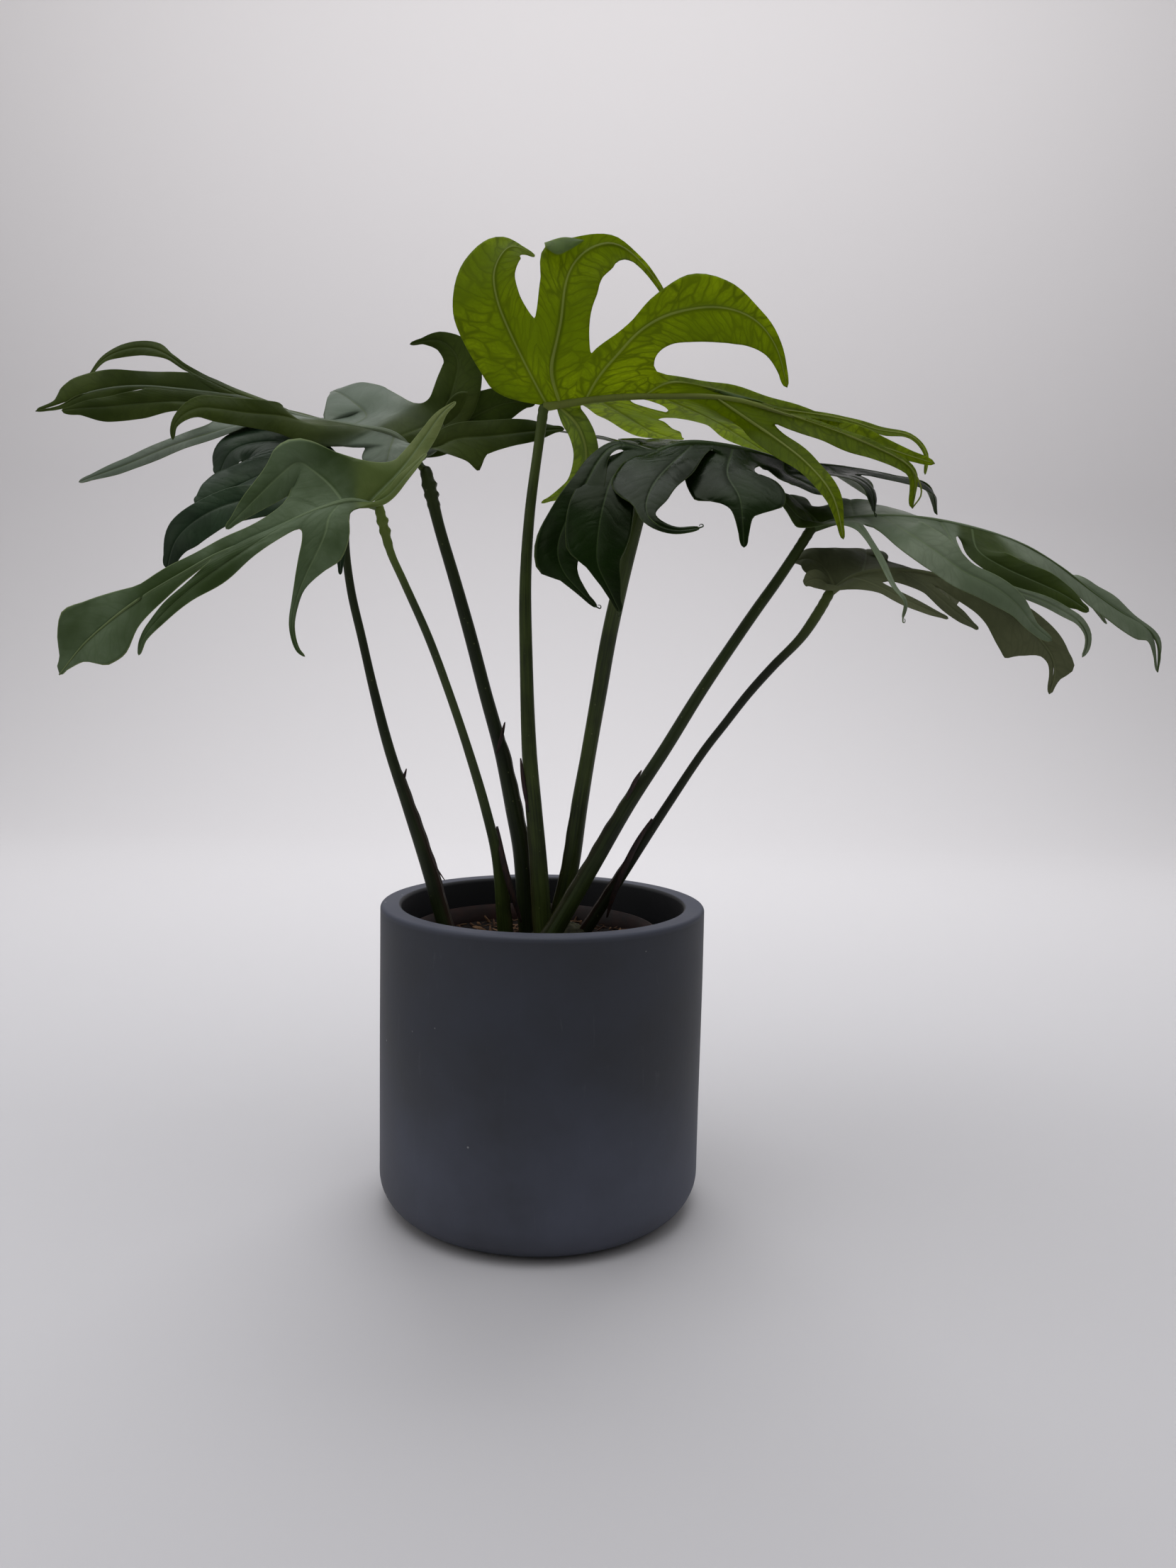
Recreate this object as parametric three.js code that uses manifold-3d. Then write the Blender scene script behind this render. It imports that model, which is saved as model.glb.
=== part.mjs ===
// A potted swiss cheese plant: seven cut leaves on long stalks, rooted in a plastic nursery pot
// that stands inside a plain cylindrical planter. Millimetres, +Z up, origin at the middle of the
// planter's underside; the view that the plant was studied from looks along +Y.
import * as THREE from 'three';
import { mergeVertices } from 'three/addons/utils/BufferGeometryUtils.js';
import Module from 'manifold-3d';

const wasm = await Module();
wasm.setup();

// Planter
const PLANTER_RADIUS = 150;
const PLANTER_HEIGHT = 282;
const PLANTER_WALL = 19;
const PLANTER_FLOOR = 22;
const PLANTER_FOOT_ROUND = 31;
const PLANTER_RIM_ROUND = 6;
const PLANTER_SIDES = 48;

// Nursery pot
const NURSERY_TOP_RADIUS = 115;
const NURSERY_FOOT_RADIUS = 88;
const NURSERY_RIM = 257;
const NURSERY_WALL = 2.2;
const NURSERY_LIP = 3.5;
const NURSERY_LIP_HEIGHT = 14;
const NURSERY_AT = new THREE.Vector3(-8, 4, PLANTER_FLOOR + 0.3);
const NURSERY_SIDES = 40;
const DRAIN_COUNT = 6;
const DRAIN_RADIUS = 7;
const DRAIN_RING = 62;

// Soil
const SOIL_TOP = 243;
const SOIL_ROUGH = 3;
const SOIL_HEAP = 5;
const SOIL_RINGS = 4;
const SOIL_SIDES = 24;
const CHIP_COUNT = 26;
const CHIP_SEED = 17;

// Crown, the buried stem that the stalks rise from
const CROWN_AT = new THREE.Vector3(16, 4, 240);
const CROWN_SIZE = new THREE.Vector3(31, 21, 23);
const CROWN_TURN = 0.3;

// Clearances and thicknesses
const GAP = 0.35;
const BLADE = 1.2;
const ROOTED = 34;
const STALK_SIDES = 10;
const RIB_SIDES = 6;
const STALK_STEPS = 15;
const STALK_KNOTS = 24;

// Sheath lips, as angles round the stalk from the side that faces the crown
const SHEATH_SHOULDER = 0.03;
const LIP_ANGLE = 0.63;
const LIP_END = 1.3;

const COLOURS = {
  planter: 0x363a42,
  nursery: 0x5a3526,
  soil: 0x211a14,
  crown: 0x2c3116,
  stalk: 0x39431f,
  leaf: 0x3d5233,
  backlitLeaf: 0x5f7a1c,
  darkLeaf: 0x22361c,
};

const material = (colour, roughness) =>
  new THREE.MeshStandardMaterial({ color: colour, roughness, metalness: 0 });

const vec = (x, y, z) => new THREE.Vector3(x, y, z);
const mix = (a, b, t) => a.clone().lerp(b, t);

// Leaf and stalk points are written as the eye in front of the plant sees them: x and z on the
// plane through the planter's axis, and y, how far behind (+) or before (-) that plane they are.
const EYE = vec(40, -1086, 497);
function seen([x, z, y]) {
  const reach = (y - EYE.y) / -EYE.y;
  return vec(x, 0, z).sub(EYE).multiplyScalar(reach).add(EYE);
}

const curveThrough = (points) => new THREE.CatmullRomCurve3(points, false, 'centripetal');

// Solids

function solidFrom(geometry) {
  const bare = geometry.clone();
  bare.deleteAttribute('normal');
  bare.deleteAttribute('uv');
  const merged = mergeVertices(bare, 1e-4);
  return new wasm.Manifold(new wasm.Mesh({
    numProp: 3,
    vertProperties: new Float32Array(merged.attributes.position.array),
    triVerts: new Uint32Array(merged.index.array),
  }));
}

function geometryFrom(solid) {
  const mesh = solid.getMesh();
  const geometry = new THREE.BufferGeometry();
  const positions = new Float32Array(mesh.numVert * 3);
  for (let i = 0; i < mesh.numVert; i += 1) {
    for (let k = 0; k < 3; k += 1) {
      positions[3 * i + k] = mesh.vertProperties[mesh.numProp * i + k];
    }
  }
  geometry.setAttribute('position', new THREE.BufferAttribute(positions, 3));
  geometry.setIndex(new THREE.BufferAttribute(new Uint32Array(mesh.triVerts), 1));
  return geometry;
}

function meshOf(name, geometry, look) {
  const mesh = new THREE.Mesh(geometry, look);
  mesh.name = name;
  return mesh;
}

function meshFrom(points, faces) {
  const geometry = new THREE.BufferGeometry();
  const positions = points.flatMap((p) => p.toArray());
  geometry.setAttribute('position', new THREE.Float32BufferAttribute(positions, 3));
  geometry.setIndex(faces.flat());
  return geometry;
}

// A closed rod along a curve. widthAt(share, angle) gives the radius, so that a rod can taper,
// swell or carry wings. Its sections turn with the curve without twisting about it.
function rod(curve, steps, sides, widthAt, facing) {
  const points = [];
  const faces = [];
  let across = facing.clone();
  for (let i = 0; i <= steps; i += 1) {
    const u = i / steps;
    const along = curve.getTangentAt(u);
    across = across.addScaledVector(along, -across.dot(along)).normalize();
    const other = along.clone().cross(across);
    const centre = curve.getPointAt(u);
    for (let k = 0; k < sides; k += 1) {
      const angle = (2 * Math.PI * k) / sides;
      const r = widthAt(u, angle);
      points.push(centre.clone()
        .addScaledVector(across, r * Math.cos(angle))
        .addScaledVector(other, r * Math.sin(angle)));
    }
  }
  for (let i = 0; i < steps; i += 1) {
    for (let k = 0; k < sides; k += 1) {
      const a = i * sides + k;
      const b = i * sides + ((k + 1) % sides);
      faces.push([a, b, b + sides], [a, b + sides, a + sides]);
    }
  }
  const last = steps * sides;
  for (let k = 1; k < sides - 1; k += 1) {
    faces.push([0, k + 1, k], [last, last + k, last + k + 1]);
  }
  return meshFrom(points, faces);
}

// Leaf blades

// Half widths are given at these shares of a lobe's free length, unless a knot brings its own.
const STATIONS = [0, 0.35, 0.7, 0.92];
const SEAM_ROWS = [0.38, 0.72, 1];
const HOLE_ROW = 0;
const FREE_ROWS = [0.07, 0.2, 0.42, 0.64, 0.84, 1];
const FIRST_FREE_ROWS = [0.07, 0.16];
const ROW_APART = 0.05;
const SINUS_ROUND = 0.17;
const FRAME_STEPS = 24;
const LOOK_AHEAD = 0.35;
const TAIL_KNOTS = [0, 0.2, 0.4, 0.6, 0.8, 1];
const RIB_STEPS = 12;
const RIB_TIP = 1.1;

// Smooth and never past its knots; the last knot rounds off to nothing at the tip.
function widthCurve(widths) {
  const knots = widths.map((w, i) => (Array.isArray(w) ? w : [STATIONS[i], w]));
  const last = knots.length - 1;
  const rise = (i) => (knots[i + 1][1] - knots[i][1]) / (knots[i + 1][0] - knots[i][0]);
  const slope = (i) => {
    if (i === 0) return rise(0);
    if (i === last) return rise(last - 1);
    const before = rise(i - 1);
    const after = rise(i);
    return before * after <= 0 ? 0 : (2 * before * after) / (before + after);
  };
  return (x) => {
    if (x >= knots[last][0]) {
      const over = (x - knots[last][0]) / (1 - knots[last][0]);
      return knots[last][1] * Math.sqrt(Math.max(0, 1 - over * over));
    }
    let i = 0;
    while (x > knots[i + 1][0]) i += 1;
    const [x0, w0] = knots[i];
    const [x1, w1] = knots[i + 1];
    const h = x1 - x0;
    const t = (x - x0) / h;
    const t2 = t * t;
    const t3 = t2 * t;
    return (2 * t3 - 3 * t2 + 1) * w0 + (t3 - 2 * t2 + t) * h * slope(i)
      + (3 * t2 - 2 * t3) * w1 + (t3 - t2) * h * slope(i + 1);
  };
}

// The direction across a vein: given at its middle, carried both ways along it without twist,
// then rolled by so many degrees.
function acrossVein(curve, middle, roll) {
  const table = [];
  const carry = (from, i) => {
    const along = curve.getTangentAt(i / FRAME_STEPS);
    table[i] = from.clone().addScaledVector(along, -from.dot(along)).normalize();
  };
  const half = FRAME_STEPS / 2;
  carry(middle, half);
  for (let i = half + 1; i <= FRAME_STEPS; i += 1) carry(table[i - 1], i);
  for (let i = half - 1; i >= 0; i -= 1) carry(table[i + 1], i);
  return (s) => {
    const place = Math.min(s, 1) * FRAME_STEPS;
    const i = Math.min(Math.floor(place), FRAME_STEPS - 1);
    const flat = mix(table[i], table[i + 1], place - i).normalize();
    const turn = THREE.MathUtils.degToRad(roll[0] + (roll[1] - roll[0]) * s);
    return flat.applyAxisAngle(curve.getTangentAt(Math.min(s, 1)), turn);
  };
}

// The rows of a lobe's free part: evenly spread, or at the knots where it has corners.
function freeRows(...widths) {
  const own = widths.flat().filter(Array.isArray).map(([x]) => x).filter((x) => x > FIRST_FREE_ROWS[1]);
  if (own.length === 0) return FREE_ROWS;
  own.sort((a, b) => a - b);
  return [...FIRST_FREE_ROWS, ...own.filter((x, i) => i === 0 || x - own[i - 1] > ROW_APART), 1];
}

function lobe(vein, across, { cut, back, front, hole = 0 }) {
  const [cutBack, cutFront] = cut;
  const backWidth = widthCurve(back);
  const frontWidth = widthCurve(front);
  const edge = (s, x, width, sign) => vein.getPointAt(Math.min(s, 1))
    .addScaledVector(across(s), sign * width(x));
  const shareOn = (cutAt, x) => cutAt + (1 - cutAt) * x;
  return {
    vein,
    cutBack,
    cutFront,
    cutMiddle: (cutBack + cutFront) / 2,
    hole,
    rows: freeRows(back, front),
    backEdge: (x) => edge(shareOn(cutBack, x), x, backWidth, -1),
    frontEdge: (x) => edge(shareOn(cutFront, x), x, frontWidth, 1),
    bulge: (q) => edge(cutBack * q, 0, (x) => backWidth(x) * Math.sin((q * Math.PI) / 2), -1),
  };
}

// One half of a blade, as a sheet: the lobes of one side of the midrib, from the stalk to the
// tip, each with its own vein, joined edge to edge until the cut between them opens. The faces
// come lobe by lobe.
function halfBlade(leaf, side, midrib) {
  const lobes = leaf[side].map((spec) => {
    const vein = curveThrough([midrib.getPointAt(spec.at), ...spec.vein.map(seen)]);
    const ahead = midrib.getPointAt(Math.min(1, spec.at + LOOK_AHEAD)).sub(vein.getPointAt(0.5));
    const lean = spec.lean ? vec(...spec.lean) : ahead;
    return { at: spec.at, ...lobe(vein, acrossVein(vein, lean, spec.roll ?? [0, 0]), spec) };
  });
  const { lean, roll = [0, 0], [side]: half } = leaf.tip;
  const [at, cut, width] = half;
  const tail = curveThrough(TAIL_KNOTS.map((t) => midrib.getPointAt(at + (1 - at) * t)));
  const inward = lean
    ? vec(...lean).multiplyScalar(side === 'left' ? 1 : -1)
    : lobes[lobes.length - 1].vein.getTangentAt(0).negate();
  const tipShape = { cut: [cut, cut], back: width, front: [0, 0, 0, 0] };
  lobes.push({ at, isTip: true, ...lobe(tail, acrossVein(tail, inward, roll), tipShape) });

  const seams = lobes.slice(1).map((after, i) => {
    const before = lobes[i];
    const start = midrib.getPointAt((before.at + after.at) / 2);
    const between = (q) => {
      const behind = before.vein.getPointAt(q * before.cutFront);
      return mix(behind, after.vein.getPointAt(q * after.cutBack), 0.5);
    };
    const fromStart = start.clone().sub(between(0));
    const end = mix(before.frontEdge(0), after.backEdge(0), 0.5);
    const fromEnd = end.clone().sub(between(1));
    return {
      start,
      end,
      at: (q) => between(q).addScaledVector(fromStart, 1 - q).addScaledVector(fromEnd, q),
    };
  });

  const points = [];
  const add = (point) => points.push(point) - 1;
  let shared = null;
  const patches = lobes.map((one, i) => {
    const faces = [];
    const face = (a, b, c) => {
      if (a !== b && b !== c && a !== c) faces.push([a, b, c]);
    };
    const seamBefore = seams[i - 1];
    const seamAfter = seams[i];
    const rows = [];
    const root = add(midrib.getPointAt(one.at));
    rows.push([shared ? shared[0] : root, root, seamAfter ? add(seamAfter.start) : root]);
    SEAM_ROWS.forEach((q, k) => {
      const isHole = k === HOLE_ROW;
      const middle = one.vein.getPointAt(q * one.cutMiddle);
      const vein = add(middle);
      let back;
      if (!shared) back = add(one.bulge(q));
      else if (isHole && lobes[i - 1].hole) back = add(mix(seamBefore.at(q), middle, lobes[i - 1].hole));
      else back = shared[k + 1];
      let front = vein;
      if (seamAfter) {
        const seamPoint = seamAfter.at(q);
        front = add(isHole && one.hole ? mix(seamPoint, middle, one.hole) : seamPoint);
      }
      rows.push([back, vein, front]);
    });
    const backStart = seamBefore ? seamBefore.end.clone().sub(one.backEdge(0)) : vec(0, 0, 0);
    const frontStart = seamAfter ? seamAfter.end.clone().sub(one.frontEdge(0)) : vec(0, 0, 0);
    one.rows.forEach((x) => {
      const near = Math.max(0, 1 - x / SINUS_ROUND);
      const hold = 1 - Math.sqrt(1 - near * near);
      const vein = add(one.vein.getPointAt(one.cutMiddle + (1 - one.cutMiddle) * x));
      if (x === 1) {
        rows.push([vein, vein, vein]);
        return;
      }
      const back = add(one.backEdge(x).addScaledVector(backStart, hold));
      const front = one.isTip ? vein : add(one.frontEdge(x).addScaledVector(frontStart, hold));
      rows.push([back, vein, front]);
    });
    for (let k = 0; k < rows.length - 1; k += 1) {
      const [b0, v0, f0] = rows[k];
      const [b1, v1, f1] = rows[k + 1];
      face(b0, v0, v1);
      face(b0, v1, b1);
      face(v0, f0, f1);
      face(v0, f1, v1);
    }
    shared = rows.map((row) => row[2]);
    return faces;
  });
  return { points, patches };
}

// A sheet given its thickness along its own normals, both faces split into triangles alike. Each
// patch closes by itself and meets the next in one wall, so that lobes may pass over each other.
function thicken({ points, patches }, thickness) {
  const normals = points.map(() => vec(0, 0, 0));
  patches.flat().forEach(([a, b, c]) => {
    const normal = points[b].clone().sub(points[a]).cross(points[c].clone().sub(points[a]));
    [a, b, c].forEach((i) => normals[i].add(normal));
  });
  const count = points.length;
  const offset = (sign) => points.map((p, i) => p.clone()
    .addScaledVector(normals[i].clone().normalize(), (sign * thickness) / 2));
  const all = [...offset(1), ...offset(-1)];
  return patches.map((faces) => {
    const edges = new Map();
    faces.forEach(([a, b, c]) => {
      [[a, b], [b, c], [c, a]].forEach(([i, k]) => {
        if (!edges.delete(`${k} ${i}`)) edges.set(`${i} ${k}`, [i, k]);
      });
    });
    return meshFrom(all, [
      ...faces,
      ...faces.map(([a, b, c]) => [c + count, b + count, a + count]),
      ...[...edges.values()].flatMap(([i, k]) => [[k, i, i + count], [k, i + count, k + count]]),
    ]);
  });
}

function bladeSolid(leaf) {
  const midrib = curveThrough(leaf.midrib.map(seen));
  const taper = (u) => leaf.rib + (RIB_TIP - leaf.rib) * u;
  const rib = rod(midrib, RIB_STEPS, RIB_SIDES, taper, vec(0, 0, 1));
  return ['left', 'right'].map((side) => halfBlade(leaf, side, midrib))
    .flatMap((sheet) => thicken(sheet, BLADE))
    .reduce((solid, patch) => solid.add(solidFrom(patch)), solidFrom(rib));
}

// The seven leaves. midrib runs from the stalk to the tip; left and right are the sides as seen
// from the stalk with the upper face up, each with its lobes from the stalk outwards. A lobe has
// its place on the midrib, the points of its vein, the shares of the vein where the cuts behind
// and before it open, and its half widths behind and before the vein. lean is the direction
// across its middle, from behind to before, where that isn't simply towards the leaf's tip; for
// the tip it runs from left to right. On each side the tip has its place, its cut and its half
// widths.
const LEAVES = {
  a: {
    rib: 3.6,
    midrib: [[-184, 655, -32], [-208, 669, -28], [-243, 673, -28], [-286, 656, -36], [-322, 641, -44]],
    left: [
      {
        at: 0.03, lean: [-1, 0, 0], cut: [0.3, 0.3],
        vein: [[-187, 632, -50], [-187, 600, -54], [-191, 566, -52]],
        back: [8, 8, 6, 3],
        front: [10, 9, 6, 2],
      },
      {
        at: 0.16, lean: [0, 0.4, 1], cut: [0.25, 0.3],
        vein: [
          [-232, 650, -46], [-272, 646, -56], [-308, 634, -60], [-338, 610, -64], [-348, 582, -62],
        ],
        back: [12, 15, 16, 8],
        front: [9, 10, 12, 6],
      },
    ],
    right: [
      {
        at: 0.04, lean: [-1, 0, 0.3], cut: [0.3, 0.4],
        vein: [[-170, 668, -10], [-162, 672, 10], [-166, 668, 26]],
        back: [12, 13, 9, 3],
        front: [12, 12, 8, 3],
      },
      {
        at: 0.2, cut: [0.3, 0.4],
        vein: [[-222, 692, -12], [-258, 697, -6], [-288, 688, -8], [-300, 666, -14]],
        back: [20, 20, 17, 8],
        front: [13, 15, 14, 7],
      },
    ],
    tip: {
      left: [0.42, 0.2, [11, 16, 13, 5]],
      right: [0.42, 0.2, [14, 18, 14, 5]],
    },
  },
  b: {
    rib: 3.6,
    midrib: [
      [-155, 642, -108], [-179, 647, -116], [-206, 640, -124], [-238, 626, -130], [-274, 609, -136],
      [-306, 594, -141], [-332, 579, -144], [-358, 564, -146], [-381, 549, -148], [-404, 531, -149],
      [-425, 512, -149], [-448, 484, -146],
    ],
    left: [
      {
        at: 0.02, lean: [0, -0.5, -0.85], cut: [0.3, 0.1],
        vein: [[-146, 652, -122], [-130, 670, -128], [-112, 690, -124]],
        back: [7, 8, 6, 3],
        front: [6, 7, 6, 3],
      },
      {
        at: 0.1, cut: [0.05, 0.26],
        vein: [
          [-200, 632, -130], [-203, 618, -136], [-210, 602, -140], [-221, 580, -143],
          [-231, 554, -144], [-234, 532, -143], [-229, 512, -140], [-222, 505, -137],
        ],
        back: [[0, 6], [0.12, 17], [0.3, 20], [0.42, 12], [0.6, 3], [0.9, 2]],
        front: [[0, 17], [0.18, 13], [0.34, 8], [0.6, 3], [0.9, 2]],
      },
      {
        at: 0.2, lean: [0.35, 0.3, 1], cut: [0.1, 0.47],
        vein: [
          [-251, 617, -140], [-280, 598, -146], [-306, 580, -150], [-332, 560, -153],
          [-355, 538, -155], [-370, 519, -155], [-375, 503, -152],
        ],
        back: [[0, 8], [0.23, 9], [0.42, 12], [0.6, 9], [0.78, 6], [0.92, 3]],
        front: [[0, 8], [0.32, 7], [0.62, 6], [0.85, 3]],
      },
    ],
    right: [
      {
        at: 0.03, lean: [-0.6, 0.4, 0.6], cut: [0.25, 0.3],
        vein: [[-134, 676, -96], [-112, 706, -84], [-98, 726, -78], [-86, 736, -78]],
        back: [10, 10, 7, 3],
        front: [10, 9, 6, 2],
      },
      {
        at: 0.1, cut: [0.3, 0.36],
        vein: [
          [-198, 659, -112], [-215, 673, -106], [-228, 680, -106], [-242, 670, -112],
          [-267, 646, -122], [-294, 619, -132],
        ],
        back: [[0, 20], [0.2, 18], [0.4, 12], [0.7, 8], [0.92, 3]],
        front: [[0, 16], [0.2, 18], [0.4, 15], [0.7, 8], [0.92, 3]],
      },
    ],
    tip: {
      lean: [0.2, 0.3, 0.9],
      left: [0.47, 0.03,
        [[0, 2], [0.335, 14], [0.49, 21], [0.65, 32], [0.74, 30], [0.85, 11], [0.95, 3]],
      ],
      right: [0.22, 0.05,
        [[0, 10], [0.3, 12], [0.55, 11], [0.65, 18], [0.76, 29], [0.84, 38], [0.9, 28], [0.96, 9]],
      ],
    },
  },
  c: {
    rib: 4.4,
    midrib: [
      [-113, 676, 10], [-139, 705, 4], [-177, 713, 8], [-222, 720, 20], [-254, 729, 32],
      [-279, 736, 40], [-305, 739, 46], [-336, 742, 51], [-368, 744, 55], [-400, 741, 57],
      [-426, 734, 58], [-442, 725, 58], [-464, 720, 58],
    ],
    left: [
      {
        at: 0.02, lean: [0, -0.3, -1], cut: [0.2, 0.25],
        vein: [[-88, 702, 12], [-56, 706, 20], [-18, 710, 28], [12, 713, 34]],
        back: [12, 14, 11, 4],
        front: [[0, 22], [0.12, 27], [0.35, 14], [0.7, 7], [0.92, 3]],
      },
      {
        at: 0.1, cut: [0.2, 0.3],
        vein: [[-146, 690, -8], [-149, 678, -14], [-154, 668, -16]],
        back: [22, 24, 20, 10],
        front: [22, 24, 20, 10],
      },
      {
        at: 0.24, lean: [0, 0.3, 1], cut: [0.3, 0.3],
        vein: [
          [-241, 726, -14], [-273, 723, -24], [-298, 725, -30], [-318, 726, -33], [-332, 719, -35],
          [-340, 709, -35], [-341, 697, -34],
        ],
        back: [[0, 9], [0.15, 10], [0.41, 12], [0.6, 11], [0.76, 8], [0.92, 3]],
        front: [[0, 9], [0.15, 10], [0.41, 12], [0.6, 11], [0.76, 8], [0.92, 3]],
      },
      {
        at: 0.36, lean: [0, 0.3, 1], cut: [0.3, 0.3],
        vein: [[-279, 712, 6], [-337, 694, 10], [-382, 675, 12], [-427, 658, 12]],
        back: [7, 8, 7, 3],
        front: [8, 8, 7, 3],
      },
      {
        at: 0.5, lean: [0, 0.1, 1], cut: [0.2, 0.52],
        vein: [
          [-305, 731, 42], [-337, 731, 46], [-368, 729, 50], [-400, 725, 52], [-426, 723, 53],
          [-441, 721, 54],
        ],
        back: [[0, 8], [0.19, 8], [0.44, 13], [0.68, 10], [0.9, 4]],
        front: [[0, 12], [0.44, 9], [0.7, 5], [0.93, 2]],
      },
    ],
    right: [
      {
        at: 0.03, lean: [0, 0, 1], cut: [0.25, 0.3],
        vein: [[-88, 712, 24], [-62, 724, 32], [-40, 732, 34], [-22, 736, 34]],
        back: [12, 13, 11, 4],
        front: [14, 14, 12, 5],
      },
      {
        at: 0.09, cut: [0.25, 0.3],
        vein: [[-106, 726, 24], [-100, 756, 30], [-97, 778, 32], [-112, 786, 32], [-128, 784, 30]],
        back: [18, 16, 13, 3],
        front: [18, 13, 9, 2],
      },
      {
        at: 0.2, lean: [-1, 0, 0], cut: [0.3, 0.35],
        vein: [[-159, 723, 26], [-160, 735, 48], [-163, 741, 70]],
        back: [24, 25, 22, 12],
        front: [27, 28, 24, 12],
      },
      {
        at: 0.34, lean: [-1, 0, 0], cut: [0.35, 0.4],
        vein: [[-240, 734, 56], [-262, 736, 92], [-282, 728, 120]],
        back: [18, 19, 15, 6],
        front: [17, 18, 14, 6],
      },
      {
        at: 0.48, cut: [0.3, 0.36],
        vein: [
          [-327, 759, 56], [-342, 770, 62], [-358, 777, 67], [-374, 777, 70], [-390, 773, 73],
          [-403, 766, 75], [-418, 748, 77],
        ],
        back: [[0, 4], [0.24, 3], [0.38, 7], [0.64, 7], [0.8, 4], [0.93, 2]],
        front: [[0, 3], [0.18, 4], [0.38, 9], [0.64, 7], [0.8, 4], [0.93, 2]],
      },
    ],
    tip: {
      lean: [0, 0.25, 1],
      left: [0.72, 0.03,
        [[0, 2], [0.36, 9], [0.6, 8], [0.77, 4], [0.9, 2]],
      ],
      right: [0.6, 0.05,
        [[0, 17], [0.34, 12], [0.55, 15], [0.72, 15], [0.83, 9], [0.9, 3]],
      ],
    },
  },
  d: {
    rib: 4.4,
    midrib: [
      [-7, 733, 0], [46, 742, -3], [109, 745, -10], [167, 742, -20], [231, 725, -32], [286, 706, -42],
      [325, 686, -47], [336, 664, -47], [328, 650, -46],
    ],
    left: [
      {
        at: 0.03, lean: [1, 0.3, 0], cut: [0.2, 0.12],
        vein: [[24, 716, 2], [32, 690, 6], [23, 664, 8], [-8, 648, 8]],
        back: [11, 12, 8, 2],
        front: [12, 12, 7, 2],
      },
      {
        at: 0.13, cut: [0.12, 0.45], hole: 0.35,
        vein: [[65, 728, 40], [88, 715, 80], [117, 706, 112]],
        back: [24, 26, 22, 9],
        front: [22, 24, 20, 8],
      },
      {
        at: 0.28, cut: [0.45, 0.4],
        vein: [[142, 727, 26], [172, 710, 66], [200, 694, 96]],
        back: [22, 22, 18, 7],
        front: [22, 22, 18, 7],
      },
      {
        at: 0.41, cut: [0.3, 0.25],
        vein: [[196, 713, -36], [232, 687, -60], [256, 659, -76], [267, 621, -80]],
        back: [18, 13, 8, 3],
        front: [12, 11, 8, 3],
      },
    ],
    right: [
      {
        at: 0.01, cut: [0.25, 0.42],
        vein: [
          [-25, 772, -14], [-41, 803, -24], [-50, 825, -28], [-53, 850, -26], [-39, 871, -18],
          [-17, 864, -6],
        ],
        back: [38, 41, 24, 7],
        front: [22, 19, 17, 7],
      },
      {
        at: 0.04, cut: [0.29, 0.21],
        vein: [
          [-1, 765, -22], [3, 788, -27], [7, 808, -31], [10, 838, -31], [16, 856, -28], [30, 870, -24],
          [53, 876, -18], [77, 860, -6], [93, 841, 2], [103, 824, 6],
        ],
        back: [[0, 21], [0.19, 22], [0.3, 28], [0.42, 14], [0.56, 7], [0.74, 4], [0.92, 3]],
        front: [[0, 31], [0.15, 25], [0.3, 29], [0.48, 26], [0.6, 21], [0.74, 6], [0.92, 3]],
      },
      {
        at: 0.1, cut: [0.16, 0.23],
        vein: [
          [42, 761, -14], [60, 782, -22], [78, 801, -28], [97, 813, -32], [120, 820, -33],
          [143, 823, -31], [167, 819, -26], [186, 808, -19], [201, 787, -11], [211, 754, -2],
        ],
        back: [[0, 19], [0.16, 11], [0.28, 19], [0.42, 28], [0.54, 22], [0.7, 9], [0.92, 4]],
        front: [[0, 23], [0.21, 24], [0.45, 29], [0.58, 27], [0.7, 22], [0.83, 11], [0.93, 5]],
      },
      {
        at: 0.24, cut: [0.1, 0.25], roll: [10, 60],
        vein: [
          [103, 756, -14], [141, 752, -14], [205, 735, -14], [270, 713, -18], [325, 696, -24],
          [347, 690, -26],
        ],
        back: [12, 13, 12, 5],
        front: [8, 9, 9, 4],
      },
      {
        at: 0.55, cut: [0.25, 0.25],
        vein: [[263, 727, -6], [295, 718, 6], [324, 714, 8], [338, 699, 4], [338, 680, 0]],
        back: [9, 10, 8, 4],
        front: [7, 8, 7, 3],
      },
    ],
    tip: {
      left: [0.52, 0.2, [17, 17, 11, 6]],
      right: [0.52, 0.2, [8, 9, 8, 4]],
    },
  },
  e: {
    rib: 4.6,
    midrib: [
      [91, 694, -60], [120, 704, -55], [168, 701, -38], [215, 690, -18], [262, 686, 4], [310, 679, 28],
      [343, 670, 44], [351, 645, 50],
    ],
    left: [
      {
        at: 0.02, lean: [0.5, 1, 0], cut: [0.2, 0.25],
        vein: [[66, 703, -14], [36, 708, 26], [6, 712, 48]],
        back: [9, 9, 8, 4],
        front: [10, 10, 9, 4],
      },
      {
        at: 0.07, lean: [1, 0, 0], cut: [0.3, 0.35],
        vein: [[86, 706, -10], [80, 702, 34], [74, 690, 66]],
        back: [20, 22, 18, 6],
        front: [20, 22, 17, 6],
      },
      {
        at: 0.2, cut: [0.35, 0.4],
        vein: [[140, 700, 8], [146, 694, 50], [150, 678, 82]],
        back: [19, 20, 16, 6],
        front: [19, 20, 16, 6],
      },
      {
        at: 0.34, cut: [0.4, 0.4],
        vein: [[196, 690, 30], [212, 682, 70], [222, 668, 98]],
        back: [18, 19, 15, 6],
        front: [18, 18, 14, 6],
      },
      {
        at: 0.5, cut: [0.4, 0.4],
        vein: [[252, 684, 40], [276, 674, 76], [292, 658, 102]],
        back: [15, 16, 13, 5],
        front: [14, 15, 12, 5],
      },
    ],
    right: [
      {
        at: 0.01, lean: [1, -0.2, 0], cut: [0.12, 0.15],
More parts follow.
